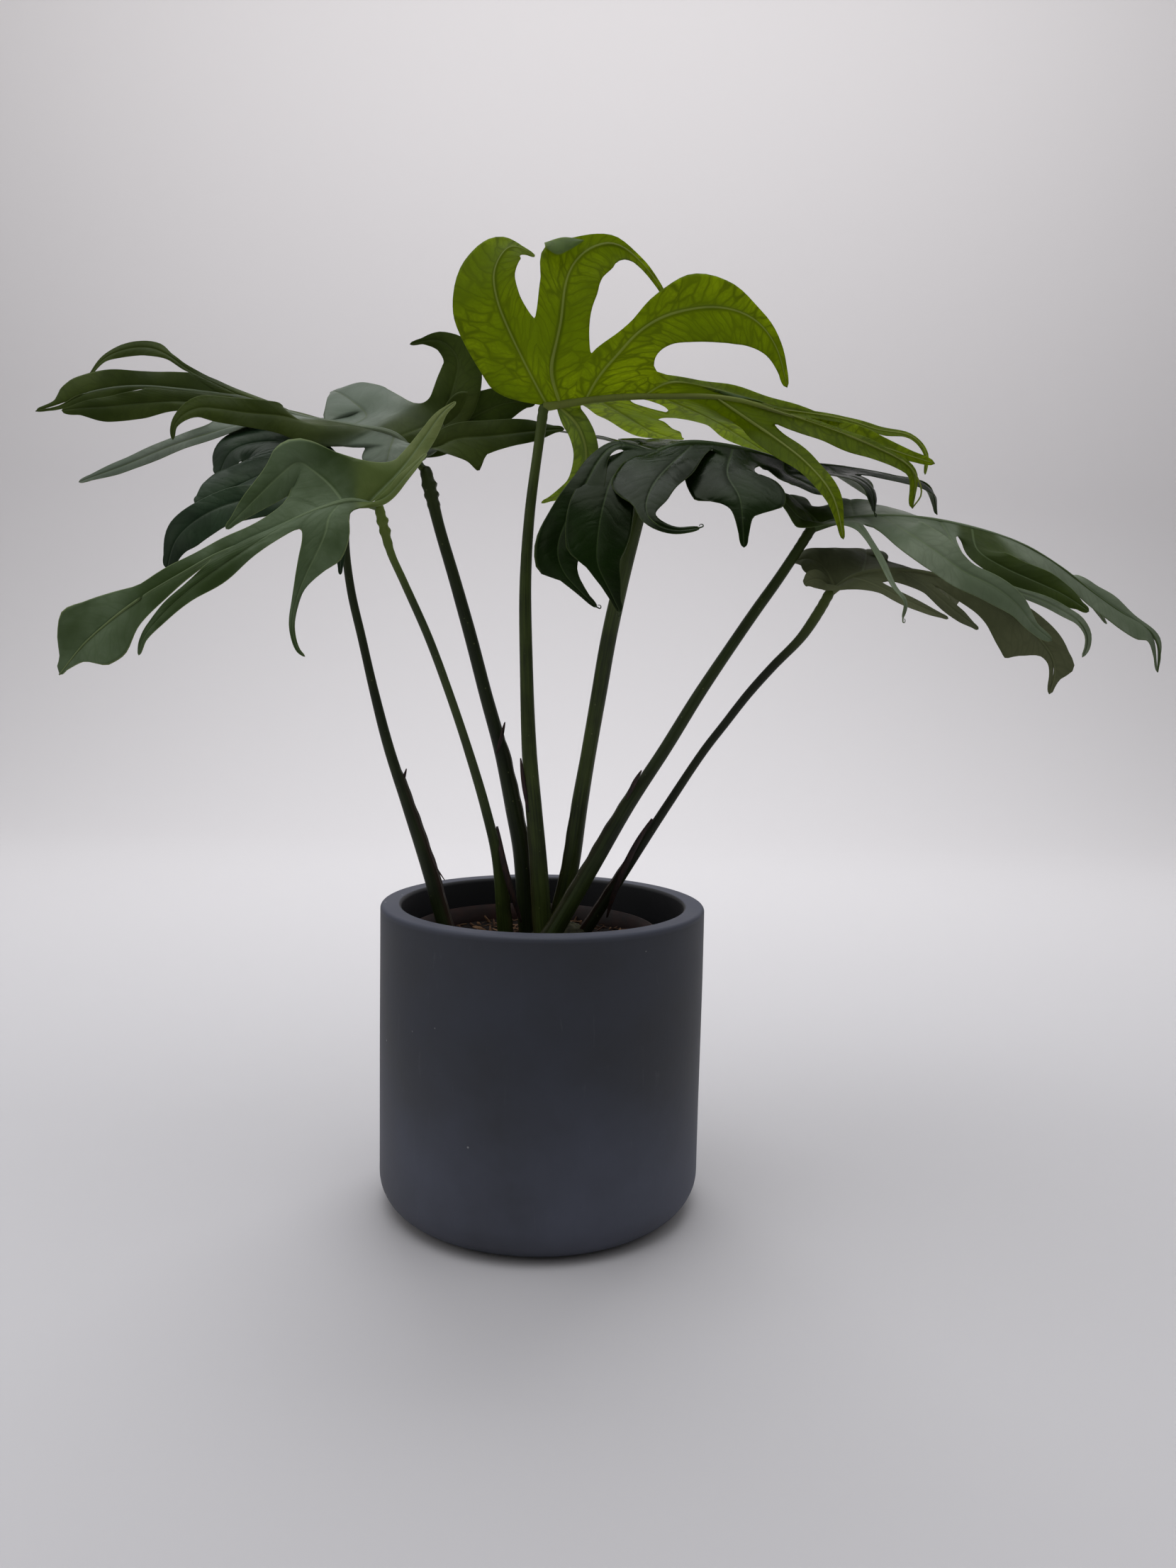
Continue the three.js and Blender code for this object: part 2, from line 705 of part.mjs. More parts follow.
        vein: [
          [59, 701, -72], [44, 688, -80], [33, 667, -90], [17, 637, -98], [7, 607, -102],
          [13, 587, -103], [29, 570, -102], [45, 555, -99],
        ],
        back: [[0, 4], [0.08, 5], [0.22, 11], [0.42, 15], [0.61, 19], [0.72, 20], [0.8, 6], [0.92, 3]],
        front: [
          [0, 5], [0.08, 5], [0.22, 12], [0.42, 22], [0.61, 25], [0.72, 18], [0.85, 7], [0.93, 3],
        ],
      },
      {
        at: 0.05, lean: [1, -0.2, 0], cut: [0.2, 0.3],
        vein: [
          [60, 677, -86], [49, 649, -102], [44, 617, -112], [44, 595, -116], [55, 573, -117],
          [66, 551, -115],
        ],
        back: [[0, 13], [0.21, 25], [0.45, 29], [0.62, 26], [0.73, 8], [0.92, 3]],
        front: [[0, 20], [0.21, 25], [0.45, 27], [0.62, 23], [0.8, 13], [0.93, 5]],
      },
      {
        at: 0.125, lean: [1, 0, 0], cut: [0.2, 0.05],
        vein: [
          [95, 669, -90], [87, 650, -102], [88, 638, -108], [96, 631, -111], [113, 626, -113],
          [137, 629, -112],
        ],
        back: [[0, 18], [0.18, 27], [0.35, 30], [0.46, 28], [0.56, 8], [0.72, 4], [0.92, 3]],
        front: [[0, 13], [0.12, 11], [0.35, 14], [0.52, 18], [0.68, 8], [0.9, 3]],
      },
      {
        at: 0.24, lean: [1, 0, 0], cut: [0.05, 0.26],
        vein: [[160, 676, -68], [171, 658, -84], [175, 636, -94], [177, 612, -99]],
        back: [[0, 10], [0.07, 20], [0.25, 36], [0.46, 37], [0.57, 25], [0.7, 9], [0.9, 4]],
        front: [[0, 18], [0.25, 30], [0.46, 40], [0.57, 37], [0.7, 9], [0.9, 4]],
      },
      {
        at: 0.4, cut: [0.2, 0.35],
        vein: [[212, 680, -30], [232, 670, -42], [253, 660, -46]],
        back: [16, 17, 14, 5],
        front: [14, 14, 11, 4],
      },
      {
        at: 0.54, cut: [0.3, 0.3],
        vein: [[258, 680, -10], [278, 675, -22], [290, 666, -28], [294, 646, -30]],
        back: [12, 12, 10, 4],
        front: [10, 9, 8, 3],
      },
    ],
    tip: {
      left: [0.66, 0.25, [12, 14, 11, 5]],
      right: [0.66, 0.25, [11, 13, 12, 5]],
    },
  },
  f: {
    rib: 4.2,
    midrib: [
      [238, 631, -8], [263, 639, -11], [298, 643, -11], [337, 642, -8], [376, 636, -3], [408, 628, 2],
      [435, 618, 6], [468, 599, 10], [498, 577, 13], [529, 557, 15], [552, 543, 16], [561, 525, 15],
      [560, 507, 14],
    ],
    left: [
      {
        at: 0.02, lean: [1, 0.5, 0], cut: [0.3, 0.35],
        vein: [[226, 652, 16], [216, 660, 40], [212, 656, 58]],
        back: [13, 14, 11, 4],
        front: [13, 14, 10, 4],
      },
      {
        at: 0.1, lean: [1, 0, 0], cut: [0.3, 0.4],
        vein: [[272, 654, 32], [272, 656, 66], [272, 646, 94]],
        back: [18, 19, 15, 6],
        front: [18, 19, 15, 6],
      },
      {
        at: 0.24, cut: [0.4, 0.4],
        vein: [[336, 642, 40], [350, 634, 78], [360, 620, 106]],
        back: [18, 19, 15, 6],
        front: [18, 18, 14, 6],
      },
      {
        at: 0.4, cut: [0.4, 0.4],
        vein: [[410, 618, 42], [430, 606, 76], [446, 588, 100]],
        back: [16, 17, 13, 5],
        front: [15, 16, 12, 5],
      },
      {
        at: 0.55, cut: [0.4, 0.35],
        vein: [[470, 588, 44], [494, 572, 70], [510, 550, 88]],
        back: [13, 14, 11, 4],
        front: [12, 13, 10, 4],
      },
    ],
    right: [
      {
        at: 0.01, lean: [0, -0.5, -1], cut: [0.3, 0.35],
        vein: [[226, 640, -22], [214, 652, -34], [206, 660, -38]],
        back: [10, 12, 10, 4],
        front: [11, 12, 9, 4],
      },
      {
        at: 0.09, cut: [0.2, 0.12],
        vein: [[280, 634, -44], [300, 607, -78], [315, 580, -96], [326, 566, -102], [324, 551, -104]],
        back: [5, 4, 3, 2],
        front: [5, 4, 3, 2],
      },
      {
        at: 0.16, lean: [0.4, 0.35, 0.85], cut: [0.16, 0.12],
        vein: [
          [331, 625, -56], [358, 608, -72], [378, 594, -80], [404, 583, -85], [428, 566, -87],
          [445, 546, -87], [462, 534, -86],
        ],
        back: [[0, 11], [0.2, 14], [0.36, 11], [0.54, 12], [0.72, 11], [0.9, 5]],
        front: [[0, 9], [0.26, 13], [0.4, 8], [0.54, 6], [0.72, 7], [0.9, 3]],
      },
      {
        at: 0.3, lean: [0.2, 0.2, 1], cut: [0.1, 0.1],
        vein: [
          [390, 591, -60], [423, 579, -64], [454, 569, -66], [472, 560, -66], [486, 552, -66],
          [494, 540, -66], [494, 528, -66], [490, 519, -66],
        ],
        back: [4, 3, 5, 3],
        front: [3, 3, 5, 3],
      },
      {
        at: 0.38, lean: [0.4, 0.35, 0.85], cut: [0.08, 0.15],
        vein: [[390, 613, -28], [416, 598, -36], [443, 587, -40], [469, 576, -40], [494, 561, -38]],
        back: [[0, 5], [0.25, 8], [0.5, 11], [0.75, 11], [0.92, 5]],
        front: [[0, 5], [0.25, 8], [0.5, 10], [0.75, 9], [0.92, 4]],
      },
    ],
    tip: {
      lean: [0, -0.6, -1],
      left: [0.62, 0.12,
        [[0, 9], [0.3, 13], [0.55, 7], [0.75, 7], [0.9, 3]],
      ],
      right: [0.5, 0.08,
        [[0, 13], [0.26, 9], [0.46, 15], [0.65, 17], [0.8, 12], [0.92, 5]],
      ],
    },
  },
  g: {
    rib: 3.8,
    midrib: [
      [257, 574, -30], [278, 589, -34], [307, 595, -35], [346, 593, -33], [389, 578, -29],
      [422, 558, -26], [446, 539, -24], [462, 520, -24], [466, 504, -24], [462, 485, -24],
    ],
    left: [
      {
        at: 0.02, lean: [1, 0, 0.3], cut: [0.3, 0.72],
        vein: [[250, 596, -12], [236, 603, 2], [221, 600, 10]],
        back: [14, 16, 12, 4],
        front: [[0, 17], [0.4, 17], [0.75, 11], [0.93, 4]],
      },
      {
        at: 0.12, lean: [1, 0, 0], cut: [0.72, 0.4],
        vein: [[288, 604, 0], [288, 612, 26], [286, 612, 48]],
        back: [[0, 16], [0.4, 16], [0.75, 12], [0.93, 5]],
        front: [18, 20, 16, 6],
      },
      {
        at: 0.3, cut: [0.4, 0.4],
        vein: [[350, 588, 10], [362, 578, 38], [370, 562, 60]],
        back: [16, 17, 13, 5],
        front: [16, 17, 13, 5],
      },
      {
        at: 0.44, cut: [0.4, 0.35],
        vein: [[408, 562, 8], [424, 548, 28], [436, 530, 42]],
        back: [12, 13, 10, 4],
        front: [12, 12, 9, 4],
      },
    ],
    right: [
      {
        at: 0.01, lean: [0, -0.5, -1], cut: [0.25, 0.3],
        vein: [[248, 584, -44], [239, 584, -53], [233, 580, -58]],
        back: [8, 9, 8, 4],
        front: [9, 9, 7, 3],
      },
      {
        at: 0.08, cut: [0.3, 0.25],
        vein: [[290, 584, -54], [328, 567, -66], [366, 552, -70]],
        back: [8, 8, 7, 3],
        front: [8, 7, 6, 3],
      },
      {
        at: 0.24, cut: [0.25, 0.25],
        vein: [[344, 580, -44], [367, 562, -52], [394, 543, -54]],
        back: [10, 10, 9, 4],
        front: [9, 8, 7, 3],
      },
    ],
    tip: {
      lean: [-0.65, -0.3, -0.76],
      left: [0.42, 0.08,
        [[0, 10], [0.42, 16], [0.6, 18], [0.76, 17], [0.83, 22], [0.9, 8], [0.96, 4]],
      ],
      right: [0.42, 0.08,
        [[0, 16], [0.25, 22], [0.42, 34], [0.5, 38], [0.6, 25], [0.72, 9], [0.9, 4]],
      ],
    },
  },
};

// Stalks. points run from the soil to just below the leaf; girth gives the radius at shares of
// the length; the sheath is a pair of lips up the side that faces the crown; reach takes a stalk
// that meets its midrib side on further up.
const STALKS = {
  a: {
    facing: vec(1, 0, 0.2),
    sheath: [0.4, 2.2],
    girth: [[0, 7.4], [0.2, 6.8], [0.42, 4.9], [0.65, 3.9], [0.93, 3.5], [1, 4]],
    points: [
      [-93, 262, -16], [-108, 314, -15], [-126, 367, -15], [-144, 420, -16], [-158, 472, -18],
      [-170, 523, -20], [-180, 566, -24], [-185, 605, -28], [-185, 636, -31],
    ],
  },
  b: {
    facing: vec(1, 0, 0.2),
    sheath: [0.24, 2.2],
    girth: [[0, 7.4], [0.16, 6.4], [0.26, 4.8], [0.5, 3.8], [0.9, 3.2], [0.97, 4], [1, 4]],
    points: [
      [-36, 260, -8], [-42, 316, -17], [-55, 369, -29], [-71, 421, -42], [-89, 473, -58],
      [-109, 525, -74], [-132, 575, -91], [-144, 601, -98], [-151, 626, -104],
    ],
  },
  c: {
    facing: vec(1, 0, 0.2),
    reach: 2.3,
    sheath: [0.44, 2.6],
    girth: [[0, 9], [0.28, 8], [0.42, 6.6], [0.6, 6], [0.9, 5.1], [0.97, 6], [1, 5]],
    points: [
      [-14, 258, 12], [-21, 330, 14], [-29, 369, 15], [-41, 422, 16], [-56, 474, 16], [-70, 525, 15],
      [-85, 576, 13], [-101, 628, 11],
    ],
  },
  d: {
    facing: vec(-1, 0, 0.2),
    sheath: [0.36, 1.4],
    girth: [[0, 9.4], [0.15, 8.6], [0.35, 7], [0.6, 5.7], [0.92, 4.2], [0.97, 4.8], [1, 4.4]],
    points: [
      [0, 258, -8], [-6, 330, -10], [-10, 370, -11], [-15, 422, -12], [-19, 501, -12], [-21, 578, -9],
      [-18, 640, -6], [-11, 700, -2],
    ],
  },
  e: {
    facing: vec(-1, 0, 0.2),
    sheath: [0.3, 1.6],
    girth: [[0, 9.4], [0.2, 8.6], [0.4, 7], [0.7, 7], [0.92, 6], [1, 5]],
    points: [
      [14, 262, 14], [25, 317, 9], [32, 371, 3], [40, 424, -5], [48, 476, -14], [56, 528, -25],
      [66, 578, -37], [78, 630, -49], [87, 666, -56],
    ],
  },
  f: {
    facing: vec(-1, 0, 0.4),
    reach: 1.4,
    sheath: [0.4, 2.6],
    girth: [[0, 9], [0.2, 7.4], [0.42, 5.8], [0.7, 5], [0.92, 4.6], [1, 4.8]],
    points: [
      [15, 262, -27], [46, 318, -26], [76, 372, -24], [109, 425, -22], [140, 478, -20],
      [173, 530, -17], [190, 556, -15], [209, 584, -13], [226, 611, -10],
    ],
  },
  g: {
    facing: vec(-1, 0, 0.4),
    reach: 2.1,
    sheath: [0.28, 2.2],
    girth: [[0, 6.2], [0.25, 4.6], [0.5, 3.8], [0.85, 4], [0.92, 4.8], [1, 4.4]],
    points: [
      [46, 264, 4], [79, 318, 1], [112, 372, -4], [146, 426, -9], [165, 452, -12], [185, 479, -16],
      [207, 505, -20], [232, 532, -24], [248, 557, -28],
    ],
  },
};

function valueAt(knots, x) {
  const i = Math.max(1, knots.findIndex(([at]) => at >= x));
  const [x0, v0] = knots[i - 1];
  const [x1, v1] = knots[i];
  return v0 + (v1 - v0) * THREE.MathUtils.smoothstep(x, x0, x1);
}

// slack widens the rod and lengthens its foot, for the hole that the stalk stands in.
function stalkRod(key, slack = 0) {
  const { points, girth, sheath, facing, reach = 0 } = STALKS[key];
  const leaf = LEAVES[key];
  const path = [...points, leaf.midrib[0]].map(seen);
  const down = path[1].clone().sub(path[0]).normalize();
  path.unshift(path[0].clone().addScaledVector(down, -(ROOTED + slack)));
  const whole = curveThrough(path);
  const end = 1 - (leaf.rib + GAP - reach) / whole.getLength();
  const knots = Array.from({ length: STALK_KNOTS }, (_, i) => (end * i) / (STALK_KNOTS - 1));
  const curve = curveThrough(knots.map((u) => whole.getPointAt(u)));
  const [sheathTop, lip] = sheath;
  return rod(curve, STALK_STEPS, STALK_SIDES, (u, angle) => {
    const shut = THREE.MathUtils.smoothstep(u, sheathTop - SHEATH_SHOULDER, sheathTop + SHEATH_SHOULDER);
    const off = Math.abs(angle > Math.PI ? angle - 2 * Math.PI : angle);
    const ridge = off < LIP_END ? Math.max(0, Math.cos(2 * (off - LIP_ANGLE))) ** 2 : 0;
    return valueAt(girth, u) + slack + lip * (1 - shut) * ridge;
  }, facing);
}

// Turned pieces: a profile of radius and height, from the axis round to the axis again.
function turned(profile, sides) {
  const geometry = new THREE.LatheGeometry(profile.map(([r, z]) => new THREE.Vector2(r, z)), sides);
  geometry.rotateX(Math.PI / 2);
  return solidFrom(geometry);
}

function arc(cx, cy, radius, from, to, steps) {
  return Array.from({ length: steps + 1 }, (_, i) => {
    const angle = THREE.MathUtils.degToRad(from + ((to - from) * i) / steps);
    return [cx + radius * Math.cos(angle), cy + radius * Math.sin(angle)];
  });
}

function planter() {
  const inner = PLANTER_RADIUS - PLANTER_WALL;
  const r = PLANTER_RIM_ROUND;
  const inside = 14;
  return turned([
    [0, 0],
    ...arc(PLANTER_RADIUS - PLANTER_FOOT_ROUND, PLANTER_FOOT_ROUND, PLANTER_FOOT_ROUND, -90, 0, 4),
    ...arc(PLANTER_RADIUS - r, PLANTER_HEIGHT - r, r, 0, 90, 2),
    ...arc(inner + r, PLANTER_HEIGHT - r, r, 90, 180, 2),
    ...arc(inner - inside, PLANTER_FLOOR + inside, inside, 0, -90, 2),
    [0, PLANTER_FLOOR],
  ], PLANTER_SIDES);
}

function nurseryRadius(z) {
  const top = NURSERY_RIM - NURSERY_AT.z;
  return THREE.MathUtils.mapLinear(z, 0, top, NURSERY_FOOT_RADIUS, NURSERY_TOP_RADIUS);
}

function nurseryPot() {
  const top = NURSERY_RIM - NURSERY_AT.z;
  const lipFoot = top - NURSERY_LIP_HEIGHT;
  const wall = NURSERY_WALL;
  let pot = turned([
    [0, 0],
    [NURSERY_FOOT_RADIUS, 0],
    [nurseryRadius(lipFoot), lipFoot],
    [nurseryRadius(lipFoot) + NURSERY_LIP, lipFoot],
    [NURSERY_TOP_RADIUS + NURSERY_LIP, top],
    [NURSERY_TOP_RADIUS - wall + 0.8, top],
    [NURSERY_FOOT_RADIUS - wall, wall],
    [0, wall],
  ], NURSERY_SIDES);
  for (let i = 0; i < DRAIN_COUNT; i += 1) {
    const angle = (2 * Math.PI * i) / DRAIN_COUNT;
    const hole = new THREE.CylinderGeometry(DRAIN_RADIUS, DRAIN_RADIUS, 4 * wall, 8);
    hole.rotateX(Math.PI / 2);
    hole.translate(DRAIN_RING * Math.cos(angle), DRAIN_RING * Math.sin(angle), 0);
    pot = pot.subtract(solidFrom(hole));
  }
  return pot.translate(NURSERY_AT.toArray());
}

// Seeded draws between 0 and 1
function draws(seed) {
  let state = seed;
  return () => {
    state = (state * 1103515245 + 12345) % 2147483648;
    return state / 2147483648;
  };
}

function largest(solid) {
  return solid.decompose().sort((a, b) => b.volume() - a.volume())[0];
}

function crownLump(slack) {
  const lump = new THREE.SphereGeometry(1, 12, 8);
  lump.scale(CROWN_SIZE.x + slack, CROWN_SIZE.y + slack, CROWN_SIZE.z + slack);
  lump.rotateZ(CROWN_TURN);
  lump.translate(...CROWN_AT.toArray());
  return solidFrom(lump);
}

const stalkHoles = Object.keys(STALKS).map((key) => solidFrom(stalkRod(key, GAP)));
const withoutHoles = (solid) => stalkHoles.reduce((left, hole) => left.subtract(hole), solid);

function soil() {
  const foot = NURSERY_WALL + GAP;
  const level = SOIL_TOP - NURSERY_AT.z;
  const inside = (z) => nurseryRadius(z) - NURSERY_WALL - GAP - 0.6;
  const profile = [[0, foot], [inside(foot), foot]];
  for (let i = SOIL_RINGS; i >= 0; i -= 1) profile.push([(inside(level) * i) / SOIL_RINGS, level]);
  const body = new THREE.LatheGeometry(profile.map(([r, z]) => new THREE.Vector2(r, z)), SOIL_SIDES);
  body.rotateX(Math.PI / 2);
  const place = body.attributes.position;
  for (let i = 0; i < place.count; i += 1) {
    if (place.getZ(i) < level - 1) continue;
    const x = place.getX(i);
    const y = place.getY(i);
    const r = Math.hypot(x, y) / inside(level);
    const rough = Math.sin(0.11 * x + 1.3) * Math.cos(0.13 * y) + 0.5 * Math.sin(0.27 * x - 0.21 * y);
    place.setZ(i, level + SOIL_ROUGH * rough * (1 - r * r) + SOIL_HEAP * (1 - r));
  }
  let top = solidFrom(body).translate(NURSERY_AT.toArray());
  const draw = draws(CHIP_SEED);
  for (let i = 0; i < CHIP_COUNT; i += 1) {
    const chip = new THREE.BoxGeometry(8 + 9 * draw(), 5 + 5 * draw(), 3 + 3 * draw());
    const angle = 2 * Math.PI * draw();
    const r = (NURSERY_TOP_RADIUS - 16) * Math.sqrt(draw());
    chip.rotateX(0.9 * (draw() - 0.5));
    chip.rotateY(0.9 * (draw() - 0.5));
    chip.rotateZ(Math.PI * draw());
    const high = SOIL_TOP + SOIL_HEAP * (1 - r / NURSERY_TOP_RADIUS) + 0.6;
    chip.translate(NURSERY_AT.x + r * Math.cos(angle), NURSERY_AT.y + r * Math.sin(angle), high);
    top = top.add(solidFrom(chip));
  }
  return largest(withoutHoles(top.subtract(crownLump(GAP))));
}

const crown = () => largest(withoutHoles(crownLump(0)));

const LEAF_COLOUR = { c: COLOURS.darkLeaf, d: COLOURS.backlitLeaf, e: COLOURS.darkLeaf };

const plant = new THREE.Group();
plant.add(meshOf('planter', geometryFrom(planter()), material(COLOURS.planter, 0.75)));
plant.add(meshOf('nursery_pot', geometryFrom(nurseryPot()), material(COLOURS.nursery, 0.55)));
plant.add(meshOf('soil', geometryFrom(soil()), material(COLOURS.soil, 0.95)));
plant.add(meshOf('crown', geometryFrom(crown()), material(COLOURS.crown, 0.7)));
Object.keys(LEAVES).forEach((key) => {
  const stalk = geometryFrom(solidFrom(stalkRod(key)));
  const blade = geometryFrom(largest(bladeSolid(LEAVES[key])));
  plant.add(meshOf(`stalk_${key}`, stalk, material(COLOURS.stalk, 0.5)));
  plant.add(meshOf(`leaf_${key}`, blade, material(LEAF_COLOUR[key] ?? COLOURS.leaf, 0.4)));
});

export default plant;
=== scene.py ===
import math

import bpy
import numpy as np
from mathutils import Matrix, Vector


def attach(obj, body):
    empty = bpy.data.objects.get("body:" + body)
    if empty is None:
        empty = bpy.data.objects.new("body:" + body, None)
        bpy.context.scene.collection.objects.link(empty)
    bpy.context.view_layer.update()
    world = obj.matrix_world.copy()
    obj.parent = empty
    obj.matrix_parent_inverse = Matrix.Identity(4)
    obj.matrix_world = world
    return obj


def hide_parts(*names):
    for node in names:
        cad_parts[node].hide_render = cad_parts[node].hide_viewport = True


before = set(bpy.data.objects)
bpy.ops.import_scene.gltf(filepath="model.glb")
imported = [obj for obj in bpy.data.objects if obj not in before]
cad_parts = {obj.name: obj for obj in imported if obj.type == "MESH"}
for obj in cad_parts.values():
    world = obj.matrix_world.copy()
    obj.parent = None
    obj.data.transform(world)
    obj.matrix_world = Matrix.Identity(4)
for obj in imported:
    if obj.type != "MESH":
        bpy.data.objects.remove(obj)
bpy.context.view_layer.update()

# Planter. A plain cylinder cast from fibre clay, glass-fibre reinforced cement with a matt
# slate-grey paint, with a soft rounded rim and a rounder foot. It stands on its own flat
# underside; the nursery pot is only dropped into it.
MM = 0.001
PLANTER_RADIUS = 150
PLANTER_HEIGHT = 282
PLANTER_WALL = 19
PLANTER_FLOOR = 22
PLANTER_FOOT_ROUND = 31
PLANTER_RIM_ROUND = 3.5
PLANTER_SIDES = 160
PLANTER_FOOT_STEPS = 14
PLANTER_RIM_STEPS = 8
PLANTER_WALL_STEPS = 40


def sRGB(text):
    """A hex colour as the linear numbers that a shader takes."""
    parts = [int(text[k:k + 2], 16) / 255 for k in (1, 3, 5)]
    return [c / 12.92 if c <= 0.04045 else ((c + 0.055) / 1.055) ** 2.4 for c in parts] + [1]


def add(tree, kind, sources=None, out=0, **settings):
    """Adds a node: its settings, then for each input a value or the output that feeds it. Gives
    its first output or the one asked for, if it has any."""
    made = tree.nodes.new(kind)
    for setting, value in settings.items():
        setattr(made, setting, value)
    for name, source in (sources or {}).items():
        if isinstance(source, bpy.types.NodeSocket):
            tree.links.new(source, made.inputs[name])
        else:
            made.inputs[name].default_value = source
    return made.outputs[out] if made.outputs else made


def fresh_material(name):
    """A material with no node in it yet."""
    made = bpy.data.materials.new(name)
    made.use_nodes = True
    made.node_tree.nodes.clear()
    return made, made.node_tree


def place_piece(name, points_mm, faces, material, node, slot, marks=None):
    """A mesh in millimetres becomes the piece that stands for a CAD node, or goes with one."""
    mesh = bpy.data.meshes.new(name)
    mesh.from_pydata((np.asarray(points_mm) * MM).tolist(), [], faces)
    mesh.shade_smooth()
    for mark, values in (marks or {}).items():
        layer = mesh.attributes.new(mark, "FLOAT", "POINT")
        layer.data.foreach_set("value", np.asarray(values, dtype=np.float32))
    mesh.materials.append(material)
    piece = bpy.data.objects.new(name, mesh)
    bpy.context.scene.collection.objects.link(piece)
    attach(piece, "root")
    if node:
        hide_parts(node)


def rounded(centre, radius, start, end, steps):
    """Points of a rounded corner, as (r, z), from one angle in degrees to another."""
    angles = np.radians(np.linspace(start, end, steps))
    return [(centre[0] + radius * math.cos(a), centre[1] + radius * math.sin(a)) for a in angles]


def straight(a, b, steps):
    """Evenly spread points between two, both left out."""
    return [(a[0] + (b[0] - a[0]) * k / steps, a[1] + (b[1] - a[1]) * k / steps)
            for k in range(1, steps)]


def revolved(profile, sides, centre=(0, 0, 0), swell=None):
    """A closed solid of revolution from an (r, z) profile that starts and ends on the axis."""
    points = [(centre[0], centre[1], centre[2] + profile[0][1])]
    faces = []
    rings = profile[1:-1]
    for r, z in rings:
        for k in range(sides):
            angle = 2 * math.pi * k / sides
            reach = r + (swell(angle, z) if swell else 0)
            points.append((centre[0] + reach * math.cos(angle), centre[1] + reach * math.sin(angle),
                           centre[2] + z))
    points.append((centre[0], centre[1], centre[2] + profile[-1][1]))
    last = 1 + (len(rings) - 1) * sides
    for k in range(sides):
        after = (k + 1) % sides
        faces.append((0, 1 + after, 1 + k))
        for ring in range(len(rings) - 1):
            a = 1 + ring * sides
            faces.append((a + k, a + after, a + sides + after, a + sides + k))
        faces.append((last + k, last + after, len(points) - 1))
    return points, faces


planter_inside = PLANTER_RADIUS - PLANTER_WALL
planter_flat = PLANTER_RADIUS - PLANTER_FOOT_ROUND
planter_shoulder = PLANTER_HEIGHT - PLANTER_RIM_ROUND
planter_profile = [(0, 0)]
planter_profile += straight((0, 0), (planter_flat, 0), 5)
planter_profile += rounded((planter_flat, PLANTER_FOOT_ROUND), PLANTER_FOOT_ROUND, -90, 0,
                           PLANTER_FOOT_STEPS)
planter_profile += straight((PLANTER_RADIUS, PLANTER_FOOT_ROUND), (PLANTER_RADIUS, planter_shoulder),
                            PLANTER_WALL_STEPS)
planter_profile += rounded((PLANTER_RADIUS - PLANTER_RIM_ROUND, planter_shoulder),
                           PLANTER_RIM_ROUND, 0, 90, PLANTER_RIM_STEPS)
planter_profile += rounded((planter_inside + PLANTER_RIM_ROUND, planter_shoulder),
                           PLANTER_RIM_ROUND, 90, 180, PLANTER_RIM_STEPS)
planter_profile += straight((planter_inside, planter_shoulder), (planter_inside, PLANTER_FLOOR),
                            PLANTER_WALL_STEPS // 2)
planter_profile += [(planter_inside, PLANTER_FLOOR), (planter_inside / 2, PLANTER_FLOOR),
                    (0, PLANTER_FLOOR)]


def hand_cast(angle, z):
    """The wall isn't machined: it wanders by a few tenths of a millimetre."""
    return 0.35 * math.sin(3 * angle + 0.01 * z) + 0.2 * math.sin(5 * angle - 0.023 * z + 1)


# Painted fibre clay, rubbed down before painting: a dull slate grey in clouds, with scuffs and chips.
# It is painted paler on the rim top, painted light from the sky above, and in a patchy band above the
# foot, painted bounce light from the floor. Its clouds are 110 mm across and its scuffs 12 mm; its grit
# is finer than 4 mm, and is drawn that coarse to show.
PAINT_CLOUDS = 110 * MM
PAINT_GRIT = 4 * MM
PAINT_SCUFFS = 12 * MM
PAINT_CHIPS = 34 * MM
BOUNCE_FROM = 200 * MM
BOUNCE_FULL = 30 * MM
RIM_LIT_FROM = 276.5 * MM
RIM_LIT_FULL = 281.5 * MM
INSIDE_SHADE_FROM = 133.5 * MM
INSIDE_SHADE_FULL = 132.5 * MM
clay, tree = fresh_material("fibre clay, matt painted")
place = add(tree, "ShaderNodeTexCoord", out="Object")
height = add(tree, "ShaderNodeSeparateXYZ", {"Vector": place}, out="Z")
flat = add(tree, "ShaderNodeMapping", {"Vector": place, "Scale": (1, 1, 0)})
from_axis = add(tree, "ShaderNodeVectorMath", {0: flat}, operation="LENGTH", out="Value")
clouds = add(tree, "ShaderNodeTexNoise", {
    "Vector": place, "Scale": 1 / PAINT_CLOUDS, "Detail": 5, "Roughness": 0.55})
grit = add(tree, "ShaderNodeTexNoise", {
    "Vector": place, "Scale": 1 / PAINT_GRIT, "Detail": 6, "Roughness": 0.7})
paint = add(tree, "ShaderNodeValToRGB", {"Fac": clouds})
stops = paint.node.color_ramp.elements
stops[0].position = 0.36
stops[0].color = sRGB("#25282F")
stops[1].position = 0.68
stops[1].color = sRGB("#2F333E")
# Painted bounce light: paler in a patchy band above the foot, for the light thrown up by the floor.
low = add(tree, "ShaderNodeMapRange", {
    "Value": height, "From Min": BOUNCE_FROM, "From Max": BOUNCE_FULL, "To Max": 0.95},
    interpolation_type="SMOOTHSTEP")
painted_bounce = add(tree, "ShaderNodeMath", {0: low, 1: clouds}, operation="MULTIPLY")
